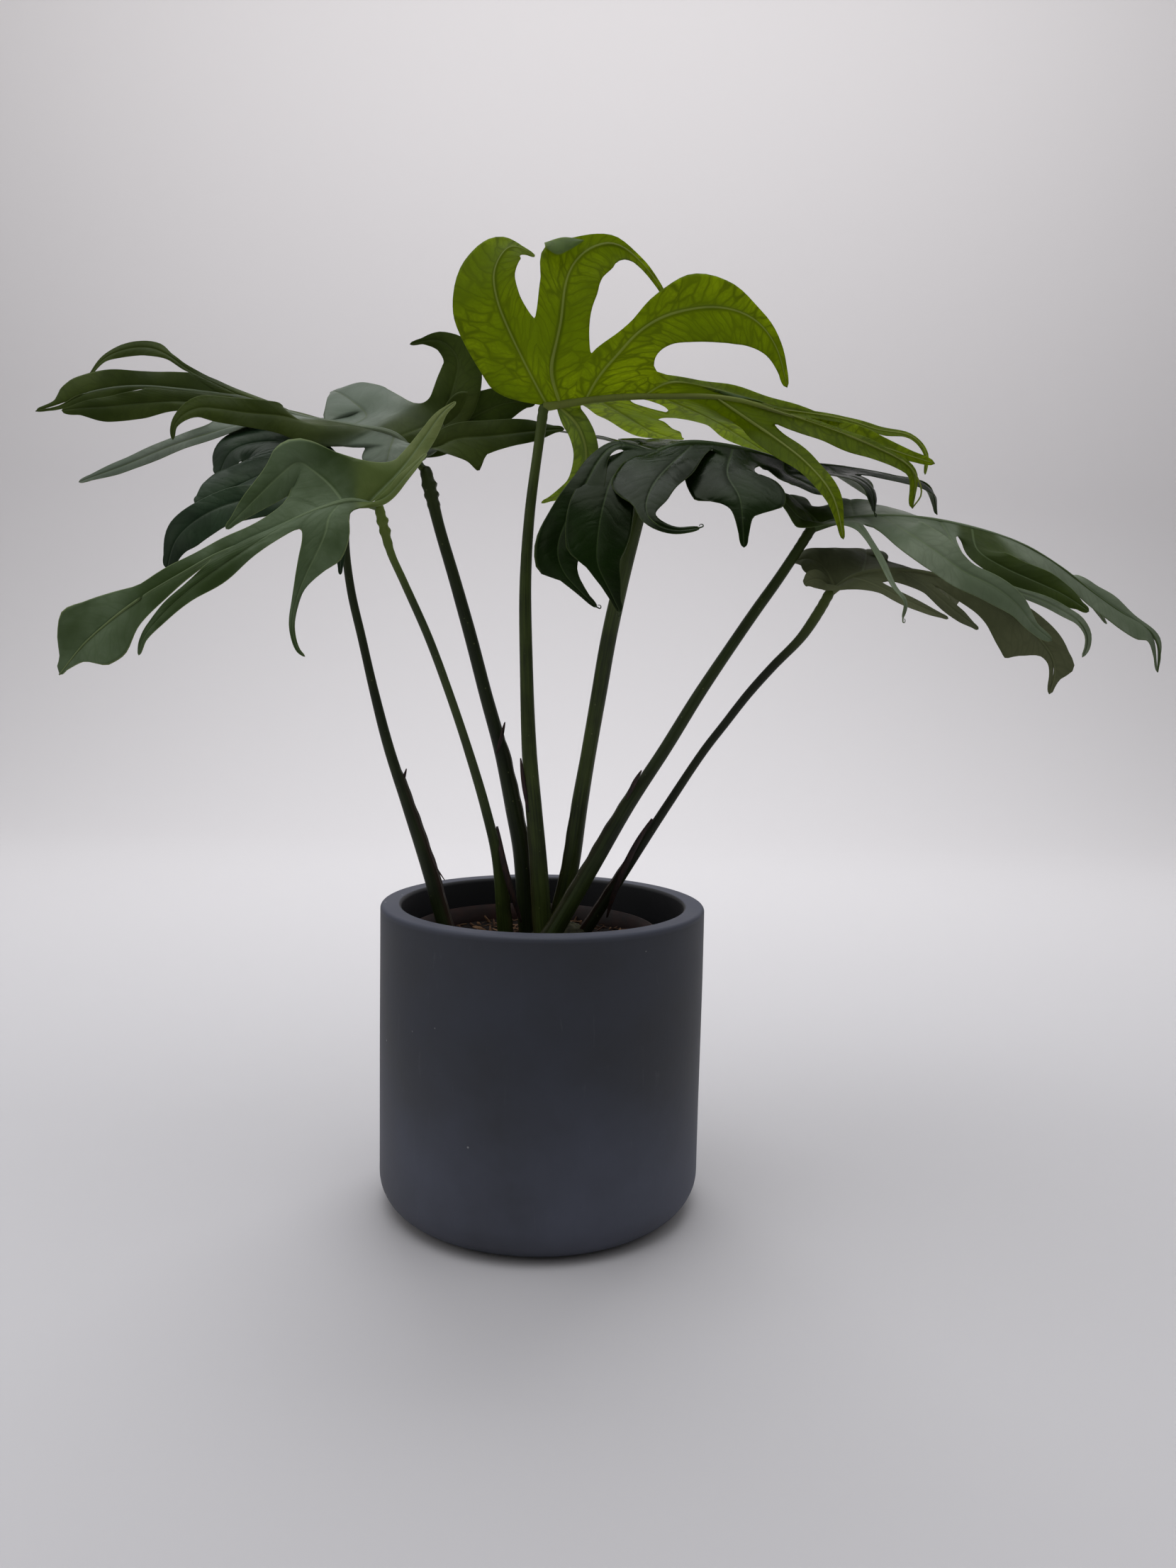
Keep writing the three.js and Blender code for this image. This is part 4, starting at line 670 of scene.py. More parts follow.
# Dry sheath: papery, dull, between nearly black and red-brown, streaked lengthwise by fibres 1.5 mm
# apart.
HUSK_FIBRES = 1.5 * MM
husk_skin, tree = fresh_material("leaf sheath, dried papery")
place = add(tree, "ShaderNodeTexCoord", out="Object")
streaks = add(tree, "ShaderNodeMapping", {"Vector": place, "Scale": (1, 1, 0.15)})
fibre = add(tree, "ShaderNodeTexNoise", {"Vector": streaks, "Scale": 1 / HUSK_FIBRES, "Detail": 5})
tone = add(tree, "ShaderNodeValToRGB", {"Fac": fibre})
stops = tone.node.color_ramp.elements
stops[0].position = 0.35
stops[0].color = sRGB("#120B08")
stops[1].position = 0.7
stops[1].color = sRGB("#3A2018")
bump = add(tree, "ShaderNodeBump", {"Height": fibre, "Distance": 0.4 * MM, "Strength": 0.5})
surface = add(tree, "ShaderNodeBsdfPrincipled", {
    "Base Color": tone, "Roughness": 0.7, "Normal": bump})
add(tree, "ShaderNodeOutputMaterial", {"Surface": surface})

for key, husks in HUSKS.items():
    for count, (half, spots) in enumerate(husks):
        line = Line(seen(spots))
        shares = np.linspace(0, 1, HUSK_RINGS)
        angles = 2 * np.pi * np.arange(HUSK_SIDES) / HUSK_SIDES
        wide = half * np.sin(np.pi * (0.06 + 0.9 * shares)) ** 0.7 + 0.15
        radii = 1 / np.sqrt((np.cos(angles)[None] / wide[:, None]) ** 2
                            + (np.sin(angles)[None] / HUSK_HALF) ** 2)
        points, faces = tube(line, shares, radii, carried(line, shares, HUSK_FACING))
        place_piece(f"husk_{key}_{count + 1}", points, faces, husk_skin, None, "stalk")

# Leaf blades. A blade is one thin leathery sheet that grew cut: each lobe has its own vein from
# the midrib, and beside the sheet is joined edge to edge until the cut between two lobes opens.
# Above, the veins are furrows; below, they stand out as ridges, and the midrib most of all.
SEAM_STEPS = 14
FREE_STEPS = 40
RIB_SPACING = [0, 0.03, 0.065, 0.12, 0.2, 0.3, 0.42, 0.54, 0.66, 0.78, 0.88, 0.95, 1]
WIDTH_SHARES = (0, 0.35, 0.7, 0.92)
SINUS_ROUND = 0.17
BLADE_HALF = 0.45
RIM_HALF = 0.22
PUFF = 0.045
PUFF_WIDEST = 32
SHORT_WAVE = 8.5
SHORT_WAVE_HEIGHT = 0.9
LONG_WAVE = 19
LONG_WAVE_HEIGHT = 0.7
RIM_BREADTH = 3
RIDGE_AT_FOOT = 1.5
RIDGE_AT_TIP = 0.3
FURROW_DEPTH = 0.4
LOOK_AHEAD = 0.35
CURL_RADIUS = 2.4
CURL_TURN = 4.4
CURL_TIGHTENING = 0.11
ACROSS_STOPS = 25
SHEET_ROUNDS = 14
FACE_ROUNDS = 20
MIDRIB_RINGS = 90
MIDRIB_SIDES = 20
MIDRIB_TIP = 0.7
THREAD_RINGS = 34
THREAD_SIDES = 8
DEEP_INSIDE = 50


def width_curve(widths):
    """Half widths at shares of a lobe's free length, smooth and never past their knots."""
    if not isinstance(widths[0], tuple):
        widths = list(zip(WIDTH_SHARES, widths))
    knots = np.array(widths, dtype=float)
    x0 = knots[:, 0]
    w0 = knots[:, 1]
    rise = np.diff(w0) / np.diff(x0)
    slope = np.zeros(len(knots))
    slope[0] = rise[0]
    slope[-1] = rise[-1]
    for i in range(1, len(knots) - 1):
        before = rise[i - 1]
        after = rise[i]
        slope[i] = 0 if before * after <= 0 else 2 * before * after / (before + after)

    def width(x):
        """The half width there; past the last knot the lobe closes in an ellipse."""
        x = np.atleast_1d(np.asarray(x, dtype=float))
        i = np.clip(np.searchsorted(x0, x, side="right") - 1, 0, len(x0) - 2)
        h = x0[i + 1] - x0[i]
        t = np.clip((x - x0[i]) / h, 0, 1)
        inner = ((2 * t ** 3 - 3 * t ** 2 + 1) * w0[i] + (t ** 3 - 2 * t ** 2 + t) * h * slope[i]
                 + (3 * t ** 2 - 2 * t ** 3) * w0[i + 1] + (t ** 3 - t ** 2) * h * slope[i + 1])
        over = (x - x0[-1]) / (1 - x0[-1])
        tip = w0[-1] * np.sqrt(np.clip(1 - over * over, 0, 1))
        return np.where(x >= x0[-1], tip, inner)

    return width


def across_vein(line, middle, roll):
    """The direction across a vein: given at its middle, carried both ways, then rolled."""
    stops = np.linspace(0, 1, ACROSS_STOPS)
    headings = line.along(stops)
    table = np.zeros((ACROSS_STOPS, 3))
    half = ACROSS_STOPS // 2
    table[half] = unit(middle - headings[half] * np.dot(middle, headings[half]))
    for i in range(half + 1, ACROSS_STOPS):
        table[i] = unit(table[i - 1] - headings[i] * table[i - 1].dot(headings[i]))
    for i in range(half - 1, -1, -1):
        table[i] = unit(table[i + 1] - headings[i] * table[i + 1].dot(headings[i]))

    def across(s):
        """That direction at shares of the vein."""
        s = np.clip(np.atleast_1d(s), 0, 1)
        flat = unit(np.stack([np.interp(s, stops, table[:, k]) for k in range(3)], axis=-1))
        along = line.along(s)
        turn = np.radians(roll[0] + (roll[1] - roll[0]) * s)[:, None]
        return (flat * np.cos(turn) + np.cross(along, flat) * np.sin(turn)
                + along * (along * flat).sum(1, keepdims=True) * (1 - np.cos(turn)))

    return across


class Lobe:
    """A lobe on its vein: where it leaves the midrib, how far the cuts beside it reach in, its half
    widths behind and before the vein, and whether a hole, turned face or curled tip is its own."""

    def __init__(self, at, line, across, cut, back, front, hole=0, turned=0, curl=0, is_tip=False):
        self.at = at
        self.line = line
        self.across = across
        self.cut_back, self.cut_front = cut
        self.cut_middle = (self.cut_back + self.cut_front) / 2
        self.back = width_curve(back)
        self.front = width_curve(front)
        self.hole = hole
        self.turned = turned
        self.curl = curl
        self.is_tip = is_tip

    def edge(self, x, sign):
        """The free margin behind the vein (sign below 0) or before it, at shares of its length."""
        cut = self.cut_back if sign < 0 else self.cut_front
        width = self.back if sign < 0 else self.front
        s = cut + (1 - cut) * np.atleast_1d(x)
        return self.line.at(s) + self.across(s) * (sign * width(x))[:, None]


def half_blade(leaf, side, midrib):
    """The lobes of one side, as rows of points from the midrib out, with what each point is."""
    lobes = []
    for spec in leaf[side]:
        line = Line(np.vstack([midrib.at(spec["at"]), seen(spec["vein"])]))
        ahead = midrib.at(min(1, spec["at"] + LOOK_AHEAD)) - line.at(0.5)
        lean = np.array(spec["lean"], dtype=float) if "lean" in spec else ahead
        across = across_vein(line, lean, spec.get("roll", (0, 0)))
        lobes.append(Lobe(spec["at"], line, across, spec["cut"], spec["back"], spec["front"],
                          spec.get("hole", 0), spec.get("turned", 0), spec.get("curl", 0)))
    at, cut, width = leaf["tip"][side]
    tail = Line(midrib.at(at + (1 - at) * np.linspace(0, 1, 6)))
    if "lean" in leaf["tip"]:
        inward = np.array(leaf["tip"]["lean"], dtype=float) * (1 if side == "left" else -1)
    else:
        inward = -lobes[-1].line.along(0)
    across = across_vein(tail, inward, leaf["tip"].get("roll", (0, 0)))
    turned = leaf["tip"].get("turned", 0)
    lobes.append(Lobe(at, tail, across, (cut, cut), width, (0, 0, 0, 0), turned=turned, is_tip=True))

    # Steps along a seam, and along a lobe's free part, where they are closer at both ends.
    q = np.linspace(0, 1, SEAM_STEPS + 1)
    even = np.linspace(0, 1, FREE_STEPS + 1)[1:]
    x = 0.55 * even + 0.45 * (1 - np.cos(np.pi * even)) / 2

    # Each seam runs between two lobes, from the midrib to where the cut opens.
    seams = []
    for before, after in zip(lobes, lobes[1:]):
        start = midrib.at((before.at + after.at) / 2)
        between = (before.line.at(q * before.cut_front) + after.line.at(q * after.cut_back)) / 2
        end = (before.edge(0, 1)[0] + after.edge(0, -1)[0]) / 2
        seams.append(between + (start - between[0]) * (1 - q)[:, None] + (end - between[-1]) * q[:, None])

    # Each lobe is a grid: rows along its vein, columns from margin to vein to margin.
    points = []
    marks = []
    faces = []
    ribs = np.array(RIB_SPACING)
    shared = None
    count = 0
    for i, lobe in enumerate(lobes):
        stops = np.concatenate([q * lobe.cut_middle, lobe.cut_middle + (1 - lobe.cut_middle) * x])
        vein = lobe.line.at(stops)
        walked = stops * lobe.line.length
        near = np.clip(1 - x / SINUS_ROUND, 0, 1)
        hold = 1 - np.sqrt(np.clip(1 - near * near, 0, 1))
        hole_q = np.sin(np.pi * np.clip((q - 0.1) / 0.62, 0, 1))
        sides = []
        for sign, seam in ((-1, seams[i - 1] if i else None), (1, seams[i] if i < len(seams) else None)):
            free = lobe.edge(x, sign)
            if seam is not None:
                free = free + (seam[-1] - lobe.edge(0, sign)[0]) * hold[:, None]
                joined = seam
                hole = lobes[i - 1].hole if sign < 0 else lobe.hole
                if hole:
                    joined = seam + (vein[:len(q)] - seam) * (hole * hole_q)[:, None]
            else:
                swelling = (lobe.back(0) * np.sin(q * np.pi / 2))[:, None]
                bulge = lobe.line.at(lobe.cut_back * q) - lobe.across(lobe.cut_back * q) * swelling
                joined = bulge if sign < 0 else vein[:len(q)]
            if lobe.is_tip and sign > 0:
                joined = vein[:len(q)]
                free = vein[len(q):]
            sides.append(np.vstack([joined, free]))
        back, front = sides
        rows = len(vein)
        back_cols = len(ribs)
        cols = back_cols if lobe.is_tip else 2 * len(ribs) - 1
        grid = np.zeros((rows, cols, 3))
        grid[:, :back_cols] = vein[:, None] + (back - vein)[:, None] * ribs[::-1][None, :, None]
        if not lobe.is_tip:
            grid[:, back_cols - 1:] = vein[:, None] + (front - vein)[:, None] * ribs[None, :, None]
        # The first row lies on the midrib itself.
        start_back = lobe.at if i == 0 else (lobes[i - 1].at + lobe.at) / 2
        grid[0, :back_cols] = midrib.at(lobe.at + (start_back - lobe.at) * ribs[::-1])
        if not lobe.is_tip:
            start_front = (lobe.at + lobes[i + 1].at) / 2
            grid[0, back_cols - 1:] = midrib.at(lobe.at + (start_front - lobe.at) * ribs)
        share = np.concatenate([ribs[::-1], ribs[1:]])[:cols]
        signs = np.concatenate([-np.ones(back_cols), np.ones(len(ribs) - 1)])[:cols]
        back_width = np.linalg.norm(back - vein, axis=1)
        front_width = np.linalg.norm(front - vein, axis=1)
        width = np.where(signs[None] < 0, back_width[:, None], front_width[:, None])
        rib = share[None] * width
        # How far each point is from the margin, and whether a cut lies open beside it.
        seam_depth = np.concatenate([(1 - q) * lobe.cut_middle * lobe.line.length, np.zeros(len(x))])
        edge = np.hypot((1 - share[None]) * width, seam_depth[:, None])
        to_tip = (1 - stops) * lobe.line.length
        edge = np.minimum(edge, to_tip[:, None] + 0.2)
        if i == 0:
            edge = np.where((signs[None] < 0), np.minimum(edge, (1 - share[None]) * width + 0.02), edge)
        openness = np.concatenate([np.zeros(len(q)), np.clip(x / 0.2, 0, 1)])
        openness = openness[:, None] * np.ones((1, cols))

        # Points on a seam are shared with the lobe before it, except round a hole.
        index = np.arange(count, count + rows * cols).reshape(rows, cols)
        count += rows * cols
        if shared is not None:
            own = len(q) if not lobes[i - 1].hole else 0
            index[:own, 0] = shared[:own]
            if lobes[i - 1].hole:
                index[0, 0] = shared[0]
                closed = np.where((hole_q < 1e-6))[0]
                index[closed, 0] = shared[closed]
        index[-1, :] = index[-1, back_cols - 1]
        if i == 0:
            index[0, :back_cols] = index[0, back_cols - 1]
        points.append(grid.reshape(-1, 3))
        along = np.repeat(walked[:, None], cols, 1)
        along_share = np.repeat((walked / lobe.line.length)[:, None], cols, 1)
        turned = np.full((rows, cols), float(lobe.turned))
        marks.append(np.stack([rib, along, signs[None] * rib, edge, openness,
                               width * np.ones((rows, 1)), along_share, turned],
                              axis=-1).reshape(-1, 8))
        quads = np.stack([index[:-1, :-1], index[:-1, 1:], index[1:, 1:], index[1:, :-1]], axis=-1)
        quads = quads.reshape(-1, 4)
        faces.append(quads if side == "left" else quads[:, ::-1])
        shared = index[:len(q), -1] if not lobe.is_tip else None
    return np.vstack(points), np.vstack(marks), np.vstack(faces), lobes


def settle(points, faces, loose, rounds, weight=0.5):
    """Eases the creases of a sheet: each point, as far as it is loose, moves towards the middle of
    its neighbours."""
    edges = np.vstack([faces[:, [0, 1]], faces[:, [1, 2]], faces[:, [2, 3]], faces[:, [3, 0]]])
    edges = edges[edges[:, 0] != edges[:, 1]]
    edges = np.vstack([edges, edges[:, ::-1]])
    counts = np.bincount(edges[:, 0], minlength=len(points)).astype(float)
    for _ in range(rounds):
        total = np.zeros_like(points)
        np.add.at(total, edges[:, 0], points[edges[:, 1]])
        middle = total / np.maximum(counts, 1)[:, None]
        move = (middle - points) * weight * loose[:, None]
        points = points + np.where(counts[:, None] > 0, move, 0)
    return points


def sheet_normals(points, faces):
    """The direction square to the sheet at each point."""
    normals = np.zeros_like(points)
    diagonals = np.cross(points[faces[:, 2]] - points[faces[:, 0]],
                         points[faces[:, 3]] - points[faces[:, 1]])
    for k in range(4):
        np.add.at(normals, faces[:, k], diagonals)
    return unit(normals)


def grown_blade(leaf, seed):
    """Both faces of a blade with its rim, and its midrib, in millimetres."""
    midrib = Line(seen(leaf["midrib"]))
    chance = np.random.default_rng(seed)
    all_points = []
    all_faces = []
    all_marks = []
    base = 0
    beside = []
    curling = []
    for side in ("left", "right"):
        points, marks, faces, lobes = half_blade(leaf, side, midrib)
        curling += [lobe for lobe in lobes if lobe.curl]
        rib, along, signed, edge, openness, width, share, turned = marks.T
        # The creases between lobes ease out; margins and the midrib stay, and veins nearly so.
        loose = np.ones(len(points))
        loose[edge < 0.9] = 0
        loose[along < 0.5] = 0
        loose *= np.where(rib < 0.05 * width, 0.35, 1)
        points = settle(points, faces, loose, SHEET_ROUNDS)
        turned = settle(turned[:, None], faces, np.ones(len(points)), FACE_ROUNDS)[:, 0]
        # The tissue puffs up between the veins, and the margin waves.
        normals = sheet_normals(points, faces)
        t = np.clip(rib / np.maximum(width, 0.1), 0, 1)
        joined = np.sin(np.pi / 2 * np.clip(t * 1.6, 0, 1))
        free = np.sin(np.pi * np.clip(t, 0, 1) ** 0.8)
        puff = PUFF * np.minimum(width, PUFF_WIDEST) * (joined * (1 - openness) + free * openness)
        puff *= np.clip(along / 14, 0, 1) * np.clip((1 - share) / 0.15, 0, 1)
        phase = chance.uniform(0, 6.28, 3)
        short_wave = SHORT_WAVE_HEIGHT * np.sin(along / SHORT_WAVE + phase[0] + np.sign(signed))
        long_wave = LONG_WAVE_HEIGHT * np.sin(along / LONG_WAVE + phase[1])
        ripple = (short_wave + long_wave) * t ** 2 * openness
        ripple = ripple * np.clip(width / 12, 0, 1) * np.clip((1 - share) / 0.2, 0, 1)
        points = points + normals * (puff + ripple)[:, None]
        # Two faces half a thickness from the sheet, the veins sunk above and proud below.
        normals = sheet_normals(points, faces)
        from_rim = np.clip(edge / RIM_BREADTH, 0, 1)
        half = RIM_HALF + (BLADE_HALF - RIM_HALF) * from_rim
        ridge = RIDGE_AT_FOOT * (1 - share) ** 0.8 + RIDGE_AT_TIP
        swollen = ridge * 0.75 * np.exp(-(rib / ridge) ** 2) * from_rim
        furrow = FURROW_DEPTH * np.exp(-(rib / (0.7 * ridge + 0.3)) ** 2)
        upper = points + normals * (half - furrow)[:, None]
        lower = points - normals * (half + swollen)[:, None]
        count = len(points)
        pairs = np.vstack([faces[:, [0, 1]], faces[:, [1, 2]], faces[:, [2, 3]], faces[:, [3, 0]]])
        pairs = pairs[pairs[:, 0] != pairs[:, 1]]
        keys = {(int(a), int(b)) for a, b in pairs}
        rim = [(b, a, a + count, b + count) for a, b in keys if (b, a) not in keys]
        for face_points, under in ((upper, 0), (lower, 1)):
            all_points.append(face_points)
            turned_under = under + (1 - 2 * under) * turned
            all_marks.append(np.column_stack([rib, along, signed, edge, turned_under, share]))
        for quad in faces.tolist():
            top = [base + k for j, k in enumerate(quad) if k != quad[j - 1]]
            all_faces.append(tuple(top))
            all_faces.append(tuple(k + count for k in reversed(top)))
        for quad in rim:
            all_faces.append(tuple(base + k for k in quad))
        base += 2 * count
        first = along < 0.01
        beside.append((points[first], normals[first]))
    # The midrib: rounded and proud below, nearly flush above, tapering to the tip.
    shares = np.linspace(0, 1, MIDRIB_RINGS)
    spots = np.vstack([b[0] for b in beside])
    faced = np.vstack([b[1] for b in beside])
    centres = midrib.at(shares)
    near = np.exp(-(np.linalg.norm(centres[:, None] - spots[None], axis=2) / 14) ** 2)
    up = unit((near[..., None] * faced[None]).sum(1) + 1e-9)
    headings = midrib.along(shares)
    up = unit(up - headings * (up * headings).sum(1, keepdims=True))
    radius = leaf["rib"] + (MIDRIB_TIP - leaf["rib"]) * shares ** 0.8
    angles = 2 * np.pi * np.arange(MIDRIB_SIDES) / MIDRIB_SIDES
    tall = np.abs(np.cos(angles))
    wide = np.abs(np.sin(angles))
    squash = np.where(np.cos(angles) > 0, 0.55, 0.95)
    radii = radius[:, None] * (tall * squash + wide * 0.9) / (tall + wide)
    rod_points, rod_faces = tube(midrib, shares, radii, up, -up * (0.18 * radius)[:, None])
    all_points.append(rod_points)
    under = np.tile((np.cos(angles) < 0.2).astype(float), MIDRIB_RINGS)
    zero = np.zeros(MIDRIB_RINGS * MIDRIB_SIDES)
    walked = np.repeat(shares * midrib.length, MIDRIB_SIDES)
    all_marks.append(np.column_stack([zero, walked, zero, zero + DEEP_INSIDE, under, zero]))
    all_faces += [tuple(base + k for k in face) for face in rod_faces]
    base += len(rod_points)
    # A lobe's vein may run on past its tip as a thread that curls up as it dries.
    for lobe in curling:
        ahead = lobe.line.along(1)
        aside = lobe.across(1)[0] * lobe.curl
        turns = np.linspace(0, CURL_TURN, 22)[:, None]
        wound = CURL_RADIUS * (1 - CURL_TIGHTENING * turns)
        onward = ahead * (3 * np.clip(turns, 0, 1) + wound * np.sin(turns))
        hook = lobe.line.at(0.985) + onward + aside * wound * (1 - np.cos(turns))
        thread_shares = np.linspace(0, 1, THREAD_RINGS)
        thin = np.repeat((0.75 - 0.5 * thread_shares)[:, None], THREAD_SIDES, 1)
        thread = Line(hook)
        thread_points, thread_faces = tube(thread, thread_shares, thin,
                                           carried(thread, thread_shares, aside))
        all_points.append(thread_points)
        zero = np.zeros(len(thread_points))
        all_marks.append(np.column_stack([zero, zero, zero, zero + DEEP_INSIDE, zero, zero + 0.9]))
        all_faces += [tuple(base + k for k in face) for face in thread_faces]
        base += len(thread_points)
    return np.vstack(all_points), all_faces, np.vstack(all_marks)


# Living leaf: a waxy cuticle, satin to glossy, over green tissue that lets light through. The
# veins are paler than the tissue, and shut out the light when the leaf is lit from behind. The
# marks on a blade are millimetres on the sheet, as the sizes of veins and net are; only under,
# which face it is, and share, how far along the vein, go from 0 to 1.
LEAF_MARKS = ("rib", "along", "signed", "edge", "under", "share")
SIDE_VEIN_APART = 11.0
SIDE_VEIN_SWEEP = -0.7
SIDE_VEIN_STRAY = 14.0
NET_STRAY = 9.0
NET_MESH = 11.0
NET_DRAWN_OUT = 0.5
FINE_MESH = 3.2
LEAF_WANDER = 16 * MM
LEAF_CLOUDS = 60 * MM
LEAF_GRAIN = 1.2 * MM


def leaf_skin(name, upper, lower, vein, rim, glow, through, gloss, plain=1.0, netted=0.3):
    """Two tones for each face, the vein and rim colours, and what shines through: its two tones
    and the veins' dark. The rest is how much light passes, how rough, how pale the veins are
    and how strong the net is. The grain is finer than 1.2 mm, drawn that coarse to show."""
    made, tree = fresh_material(name)
    place = add(tree, "ShaderNodeTexCoord", out="Object")
    rib, along, signed, edge, under, share = (
        add(tree, "ShaderNodeAttribute", attribute_name=mark, out="Fac") for mark in LEAF_MARKS)
    wander = add(tree, "ShaderNodeTexNoise", {
        "Vector": place, "Scale": 1 / LEAF_WANDER, "Detail": 3})
    cloudy = add(tree, "ShaderNodeTexNoise", {
        "Vector": place, "Scale": 1 / LEAF_CLOUDS, "Detail": 3})
    grain = add(tree, "ShaderNodeTexNoise", {"Vector": place, "Scale": 1 / LEAF_GRAIN, "Detail": 4})

    # Side veins leave the lobe's vein every 11 mm and sweep forward, each straying a little.
    swept = add(tree, "ShaderNodeMath", {0: rib, 1: SIDE_VEIN_SWEEP}, operation="MULTIPLY")
    ahead = add(tree, "ShaderNodeMath", {0: along, 1: swept}, operation="ADD")
    strayed = add(tree, "ShaderNodeMath", {0: wander, 1: SIDE_VEIN_STRAY}, operation="MULTIPLY")
    run = add(tree, "ShaderNodeMath", {0: ahead, 1: strayed}, operation="ADD")
    passed = add(tree, "ShaderNodeMath", {0: run, 1: SIDE_VEIN_APART}, operation="DIVIDE")
    turn = add(tree, "ShaderNodeMath", {0: passed}, operation="FRACT")
    middle = add(tree, "ShaderNodeMath", {0: turn, 1: 0.5}, operation="SUBTRACT")
    off = add(tree, "ShaderNodeMath", {0: middle}, operation="ABSOLUTE")
    from_side = add(tree, "ShaderNodeMath", {0: off, 1: SIDE_VEIN_APART}, operation="MULTIPLY")
    side_vein = add(tree, "ShaderNodeMapRange", {
        "Value": from_side, "From Min": 1.3, "From Max": 0.1},
        interpolation_type="SMOOTHSTEP")

    # The net between them: meshes of about 11 mm drawn out along the side veins, and finer ones
    # of about 3 mm. It comes and goes with the clouds.
    stray = add(tree, "ShaderNodeMath", {0: wander, 1: NET_STRAY}, operation="MULTIPLY")
    net_along = add(tree, "ShaderNodeMath", {0: ahead, 1: stray}, operation="ADD")
    narrowed = add(tree, "ShaderNodeMath", {0: signed, 1: NET_DRAWN_OUT}, operation="MULTIPLY")
    net_across = add(tree, "ShaderNodeMath", {0: narrowed, 1: stray}, operation="ADD")
    sheet = add(tree, "ShaderNodeCombineXYZ", {"X": net_along, "Y": net_across})
    coarse = add(tree, "ShaderNodeTexVoronoi", {
        "Vector": sheet, "Scale": 1 / NET_MESH, "Randomness": 1.0},
        feature="DISTANCE_TO_EDGE")
    coarse = add(tree, "ShaderNodeMapRange", {"Value": coarse, "From Min": 0.15, "From Max": 0.0},
        interpolation_type="SMOOTHSTEP")
    fine = add(tree, "ShaderNodeTexVoronoi", {
        "Vector": sheet, "Scale": 1 / FINE_MESH, "Randomness": 0.9},
        feature="DISTANCE_TO_EDGE")
    fine = add(tree, "ShaderNodeMapRange", {"Value": fine, "From Min": 0.2, "From Max": 0.0},
        interpolation_type="SMOOTHSTEP")
    fine = add(tree, "ShaderNodeMath", {0: fine, 1: 0.45}, operation="MULTIPLY")
    net = add(tree, "ShaderNodeMath", {0: coarse, 1: fine}, operation="MAXIMUM")
    net_strength = add(tree, "ShaderNodeMapRange", {
        "Value": cloudy, "From Min": 0.3, "From Max": 0.6, "To Min": 0.25},
        interpolation_type="SMOOTHSTEP")
    net = add(tree, "ShaderNodeMath", {0: net, 1: net_strength}, operation="MULTIPLY")

    # The lobe's own vein: 1.1 mm to each side at its foot and 0.3 mm at its tip.
    left_over = add(tree, "ShaderNodeMath", {0: 1.0, 1: share}, operation="SUBTRACT")
    taper = add(tree, "ShaderNodeMath", {0: left_over, 1: 0.8}, operation="MULTIPLY")
    main_width = add(tree, "ShaderNodeMath", {0: taper, 1: 0.3}, operation="ADD")
    from_main = add(tree, "ShaderNodeMath", {0: rib, 1: main_width}, operation="DIVIDE")
    main_vein = add(tree, "ShaderNodeMapRange", {
        "Value": from_main, "From Min": 1.2, "From Max": 0.4},
        interpolation_type="SMOOTHSTEP")
    beside = add(tree, "ShaderNodeMapRange", {"Value": from_main, "From Min": 4.5, "From Max": 1.2},
        interpolation_type="SMOOTHSTEP")

    # Colour: clouded tones for each face, darker along the net and beside the vein, paler on
    # the vein itself and on the rim.
    patch = add(tree, "ShaderNodeMapRange", {"Value": cloudy, "From Min": 0.33, "From Max": 0.67},
        interpolation_type="SMOOTHSTEP")
    top = add(tree, "ShaderNodeMixRGB", {
        "Fac": patch, "Color1": sRGB(upper[0]), "Color2": sRGB(upper[1])})
    below = add(tree, "ShaderNodeMixRGB", {
        "Fac": patch, "Color1": sRGB(lower[0]), "Color2": sRGB(lower[1])})
    face = add(tree, "ShaderNodeMixRGB", {"Fac": under, "Color1": top, "Color2": below})
    net_shade = add(tree, "ShaderNodeMath", {0: net, 1: netted}, operation="MULTIPLY")
    vein_shade = add(tree, "ShaderNodeMath", {0: beside, 1: 0.3}, operation="MULTIPLY")
    shade = add(tree, "ShaderNodeMath", {0: net_shade, 1: vein_shade}, operation="MAXIMUM")
    shade = add(tree, "ShaderNodeMath", {0: shade, 1: 0.5}, operation="MULTIPLY")
    shaded = add(tree, "ShaderNodeMixRGB", {"Fac": shade, "Color1": face, "Color2": sRGB(glow[2])})
    vein_pale = add(tree, "ShaderNodeMath", {0: main_vein, 1: 0.75 * plain}, operation="MULTIPLY")
    veined = add(tree, "ShaderNodeMixRGB", {
        "Fac": vein_pale, "Color1": shaded, "Color2": sRGB(vein)})
    rim_pale = add(tree, "ShaderNodeMapRange", {
        "Value": edge, "From Min": 0.7, "From Max": 0.15, "To Max": 0.55 * plain},
        interpolation_type="SMOOTHSTEP")
    rimmed = add(tree, "ShaderNodeMixRGB", {"Fac": rim_pale, "Color1": veined, "Color2": sRGB(rim)})

